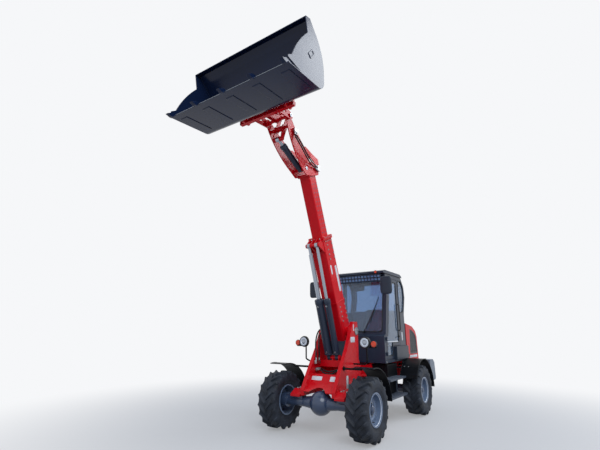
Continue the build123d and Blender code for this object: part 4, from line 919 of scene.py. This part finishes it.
around = np.linspace(0, 2 * np.pi, 24, endpoint=False)
eye = np.c_[np.zeros(24), 0.026 * np.cos(around), 0.014 * np.sin(around)]
gutter = ((0.152, 2.474), (0.30, 2.476), (0.62, 2.477), (0.94, 2.476), (1.088, 2.474))
fitted("roof_lifting_eyes", "rear_frame", zinc, joined([
    seal_shape((x, y, 2.512) + eye, 0.0055, 0.002) for x in (-0.50, 0.50) for y in (0.30, 0.98)]))
fitted("roof_gutters", "rear_frame", anthracite, joined([
    pipe_shape([(x, y, z) for y, z in gutter], 0.006, 8) for x in (-0.588, 0.588)]))
bolts("roof_screws", "rear_frame", [(x, y, 2.5293) for x in (-0.54, 0.54) for y in (0.27, 0.50, 0.74, 0.97)],
      (0, 0, 1), 0.008)
for side_name, side in sides:
    for name, material, y, profile in (
        ("roof_lamp", lamp_black, 0.152, [
            (-0.03, 0.018), (-0.015, 0.026), (0.0, 0.029), (0.006, 0.030), (0.009, 0.028), (0.008, 0.025)]),
        ("roof_lamp_lens", orange, 0.1435, [
            (0.0, 0.0245), (0.003, 0.023), (0.006, 0.014), (0.007, 0.003)]),
    ):
        lamp_part = turned_shape((side * 0.440, y, 2.492), (0, -1, 0), profile, 28)
        fitted(f"{name}_{side_name}", "rear_frame", material, lamp_part)

# Door fittings: a pale bent grab bar below the glass, a black pull rail and a turning latch.
# A blank reflector film and the heads of the cab's mounting bolts sit on the posts beside it.
pale_tube = sprayed_paint("pale_grey_grab_bar", "#c9cdd2", "#d6d9dd", "#8f8d88", 0.3, 0.4, 1.5)
grab = softened([
    (0.568, 0.182, 1.270), (0.606, 0.182, 1.270), (0.606, 0.625, 1.270), (0.563, 0.625, 1.270)], 0.03)
rail = softened([
    (0.569, 0.800, 1.46), (0.603, 0.800, 1.47), (0.603, 0.800, 1.93), (0.569, 0.800, 1.94)], 0.03)
lever = softened([(0.583, 0.797, 1.352), (0.592, 0.790, 1.345), (0.592, 0.700, 1.330)], 0.012)
latch = turned_shape((0.566, 0.797, 1.352), (1, 0, 0), [
    (0, 0.024), (0.012, 0.024), (0.016, 0.020), (0.020, 0.010), (0.022, 0.004)], 28)
fitted("door_grab_bar", "door", pale_tube, pipe_shape(grab, 0.011, 14))
fitted("door_pull_rail", "door", lamp_black, pipe_shape(rail, 0.010, 14))
fitted("door_latch", "door", lamp_black, joined([latch, pipe_shape(lever, 0.008, 10)]))
film("post_reflector", "rear_frame", (0.5701, 0.955, 1.355), (0, 1, 0), (0, 0, 1), (1, 0, 0),
     0.048, 0.150, 8)
mounts = [(side, y, z) for side, z in ((-1, 1.010), (1, 0.9415)) for y in (0.12, 1.09)]
bolts("cab_mount_bolts", "rear_frame", [(side * 0.5705, y, z) for side, y, z in mounts],
      [(side, 0, 0) for side, _, _ in mounts], 0.011)

# Driver's place: a suspension seat with two sewn foam pads in black woven cloth,
# a dashboard with an instrument hood behind the wheel, and a mirror under the roof.
cloth, cloth_tree, cloth_shader, cloth_here = plain_material("woven_seat_cloth", {
    "Roughness": 0.9, "Sheen Weight": 0.4})
threads = add_node(cloth_tree, "TexWave", {"Scale": 130.0, "Distortion": 0.6}, cloth_here,
                   bands_direction="DIAGONAL")
cloth_colour = mixed_colour(cloth_tree, threads, "Fac", "#191a1d", "#2a2c30")
cloth_bump = add_node(cloth_tree, "Bump", {"Strength": 0.4, "Distance": 0.0008},
                      {"Height": (threads, "Fac")})
wire(cloth_tree, cloth_shader, links={"Base Color": (cloth_colour, 2), "Normal": (cloth_bump, "Normal")})
seam_depth, seam_width = 0.007, 0.008


def eased(wave, power):
    """A wave's sign times its size to a power, which squares a circle up as the power falls below one."""
    return np.sign(wave) * np.abs(wave) ** power


def pad_shape(centre, wide, long, thick, half, seams):
    """A crowned pad: a superellipsoid, drawn in at each of its seams.

    With cosines and sines eased, a = cos up·cos around and b = cos up·sin around run over its plan, and its
    face stands sin up·(half - drawn)·(1 - 0.06·(a² + b²)) off the middle."""
    around, up = np.meshgrid(np.linspace(0, 2 * np.pi, 72, endpoint=False),
                             np.linspace(-np.pi / 2, np.pi / 2, 37))
    a = eased(np.cos(up), 0.6) * eased(np.cos(around), 0.35)
    b = eased(np.cos(up), 0.6) * eased(np.sin(around), 0.35)
    drawn = sum(seam_depth * np.exp(-((a * half[0] - seam) / seam_width) ** 2) for seam in seams)
    height = eased(np.sin(up), 0.6) * (half[2] - drawn) * (1 - 0.12 * (a ** 2 + b ** 2) / 2)
    reach = (a * half[0], b * half[1], height)
    axes = [np.asarray(axis, float) / np.linalg.norm(axis) for axis in (wide, long, thick)]
    points = np.asarray(centre) + sum(amount[..., None] * axis for amount, axis in zip(reach, axes))
    return points.reshape(-1, 3), ring_quads(37, 72)


def close_poles(piece):
    """Merges the points of each pad's two poles, where a whole ring meets."""
    piece.modifiers.new("closed_poles", "WELD").merge_threshold = 0.0004


for name, centre, long, thick, half in (
    ("seat_pad", (0, 0.715, 1.290), (0, 1, 0.03), (0, -0.03, 1), (0.232, 0.225, 0.058)),
    ("backrest_pad", (0, 0.985, 1.600), (0, 0.17, 1), (0, -1, 0.17), (0.222, 0.270, 0.055)),
):
    pad = mesh_from(name, *pad_shape(centre, (1, 0, 0), long, thick, half, (-0.13, 0.13)))
    pad.data.materials.append(cloth)
    close_poles(pad)
    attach(pad, "rear_frame")
    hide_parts("seat_cushion")


def panel_shape(section, x_low, x_high, steps=9):
    """A moulding with one side view section, carried across the cab and drawn in a little at both ends.

    Each section is scaled about its middle by 1 - 0.1·|place|⁶, with the place going from -1 to 1."""
    section = np.asarray(section, float)
    middle = section.mean(axis=0)
    share = 1 - 0.10 * np.abs(np.linspace(-1, 1, steps)) ** 6
    rings = [on_side(x, middle + (section - middle) * k)
             for x, k in zip(np.linspace(x_low, x_high, steps), share)]
    return np.concatenate(rings), tube_faces(steps, len(section))


dash_plastic = rubber("grained_dashboard_plastic", "#15171a", "#24272b", 0.55, 2.5)
for name, x_low, x_high, section in (
    ("dashboard", -0.505, 0.505, [
        (0.120, 1.330), (0.118, 0.990), (0.200, 0.985), (0.225, 1.200), (0.290, 1.300), (0.285, 1.345),
        (0.200, 1.375)]),
    ("instrument_hood", -0.13, 0.13, [
        (0.215, 1.330), (0.320, 1.310), (0.345, 1.340), (0.330, 1.385), (0.240, 1.405)]),
    ("side_console", -0.46, -0.30, [
        (0.520, 0.970), (1.040, 0.970), (1.040, 1.280), (0.900, 1.345), (0.560, 1.345), (0.520, 1.300)]),
):
    fitted(name, "rear_frame", dash_plastic, panel_shape(section, x_low, x_high), 0.006)
film("cab_mirror", "rear_frame", (0.0, 0.345, 2.235), (1, 0, 0), (0, 0, 1), (0, -1, 0), 0.24, 0.11, 5,
     dash_plastic, 0.014)
lever_places = (-0.40, -0.36)
levers = [pipe_shape([(x, 0.60, 1.34), (x, 0.585, 1.40), (x, 0.575, 1.455)], 0.006, 8) for x in lever_places]
levers += [turned_shape((x, 0.576, 1.448), (0, -0.15, 1), [
    (-0.002, 0.009), (0.01, 0.014), (0.028, 0.019), (0.044, 0.016), (0.052, 0.006)], 20)
    for x in lever_places]
fitted("control_levers", "rear_frame", lamp_black, joined(levers))

# Mirrors: rounded black mouldings on bent steel tubes, one a side, in front of the cab posts.
# Silvered glass lies in the rear face of each, towards the driver.
mirror_glass = metal("silvered_mirror_glass", "#d9dee4", 0.02)
mirror_plastic = sprayed_paint("grained_mirror_housing", "#1d2634", "#242e3e", "#4a4b50", 0.38, 0.1, 1.2)
mirror_shapes = []
for side_name, side in sides:
    x = side * 0.722
    housing = pad_shape((x, -0.090, 2.212), (1, 0, 0), (0, 0, side), (0, -side, 0),
                        (0.104, 0.152, 0.026), ())
    tube = softened([(x, -0.085, 2.33), (x, 0.100, 2.33), (side * 0.630, 0.150, 2.33),
                     (side * 0.630, 0.300, 2.33), (side * 0.565, 0.300, 2.33)], 0.05)
    mirror_shapes += [housing, pipe_shape(tube, 0.0125, 14)]
    film(f"mirror_glass_{side_name}", "rear_frame", (x, -0.0665, 2.212), (1, 0, 0), (0, 0, 1), (0, 1, 0),
         0.158, 0.250, 7, mirror_glass, 0.0025)
cab_mirrors = fitted("cab_mirrors", "rear_frame", mirror_plastic, joined(mirror_shapes))
close_poles(cab_mirrors)
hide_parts("mirrors")

# Hood: red sheet steel with black wire mesh behind its slats, its holes 10 mm apart and painted near black
# as painted shade.
# A blank pale film lies below the slats, and a turning latch holds each side down.
mesh_black, mesh_tree, mesh_shader, mesh_here = plain_material("black_wire_mesh_with_painted_hole_shade", {"Roughness": 0.5})
# The holes are painted near black: painted shade of the dark space seen through the mesh.
holes = add_node(mesh_tree, "TexVoronoi", {"Scale": 95.0, "Randomness": 0.0}, mesh_here)
painted_hole_shade = add_node(mesh_tree, "MapRange", {"From Min": 0.25, "From Max": 0.45},
                      {"Value": (holes, "Distance")})
mesh_colour = mixed_colour(mesh_tree, painted_hole_shade, "Result", "#050506", "#33363b")
mesh_bump = add_node(mesh_tree, "Bump", {"Strength": 0.6, "Distance": 0.002},
                     {"Height": (painted_hole_shade, "Result")})
wire(mesh_tree, mesh_shader, links={"Base Color": (mesh_colour, 2), "Normal": (mesh_bump, "Normal")})
slat_paint = sprayed_paint("dark_slat_paint", "#1b2029", "#262d38", "#4b4b4c", 0.4, 0.05)
dress(slat_paint, "hood_grilles")
grille = [(1.335, 1.024), (1.383, 1.482), (1.558, 1.443), (1.684, 1.376), (1.738, 1.286), (1.764, 1.024)]
for side_name, side in sides:
    backing = plate_shape(grille, *sorted((side * 0.5655, side * 0.5675)))
    fitted(f"hood_mesh_{side_name}", "hood", mesh_black, backing, smooth=False)
    film(f"hood_film_{side_name}", "hood", (side * 0.5751, 1.520, 0.972), (0, 1, 0), (0, 0, 1), (side, 0, 0),
         0.44, 0.046, 12)
    hood_latch = turned_shape((side * 0.5752, 1.245, 1.000), (side, 0, 0), [
        (0, 0.026), (0.004, 0.027), (0.008, 0.024), (0.009, 0.010), (0.012, 0.008)], 24)
    fitted(f"hood_latch_{side_name}", "hood", lamp_black, hood_latch)

# Tail lamps: round moulded red lenses in black rings, let into the counterweight's rear face.
# The face leans, so each lamp points a little down.
red_lens = sprayed_paint("red_polycarbonate_lens", "#a80c10", "#b81414", "#6d4a45", 0.15, 0.8, edge_mm=2.0)
lens_profile = [(-0.012, 0.052), (0.004, 0.052), (0.008, 0.049), (0.011, 0.035), (0.013, 0.012),
                (0.0135, 0.003)]
rim_profile = [(-0.012, 0.060), (0.006, 0.060), (0.009, 0.057), (0.007, 0.0525), (-0.012, 0.0525)]
tail_parts = (("tail_lamp", red_lens, lens_profile), ("tail_lamp_rim", lamp_black, rim_profile))
for side_name, side in sides:
    for name, material, profile in tail_parts:
        lamp_part = turned_shape((side * 0.70, 1.9505, 0.730), (0, 1, -0.07), profile)
        fitted(f"{name}_{side_name}", "rear_frame", material, lamp_part)

# Steps: folded grey sheet with rows of punched cups for grip, and tanks with screw caps.
# The cups are turned rings with a few faces each, joined in one mesh a side.
cup_pitch = 0.052
cup = [(-0.001, 0.017), (0.003, 0.014), (0.004, 0.011), (0.0005, 0.009)]
cup_places = [(x, y, top) for top, y_end in ((0.430, 0.56), (0.700, 0.54)) for x in (0.600, 0.645, 0.690)
              for y in np.arange(-0.145, y_end - 0.02, cup_pitch)]
for side_name, side in sides:
    fitted(f"step_cups_{side_name}", "rear_frame", step_paint, joined([
        turned_shape((side * x, y, top), (0, 0, 1), cup, 10) for x, y, top in cup_places]))
    tank_cap = turned_shape((side * 0.47, 0.30, 0.8995), (0, 0, 1), [
        (-0.001, 0.045), (0.012, 0.045), (0.020, 0.042), (0.022, 0.030), (0.020, 0.004)], 24)
    fitted(f"tank_cap_{side_name}", "rear_frame", lamp_black, tank_cap)
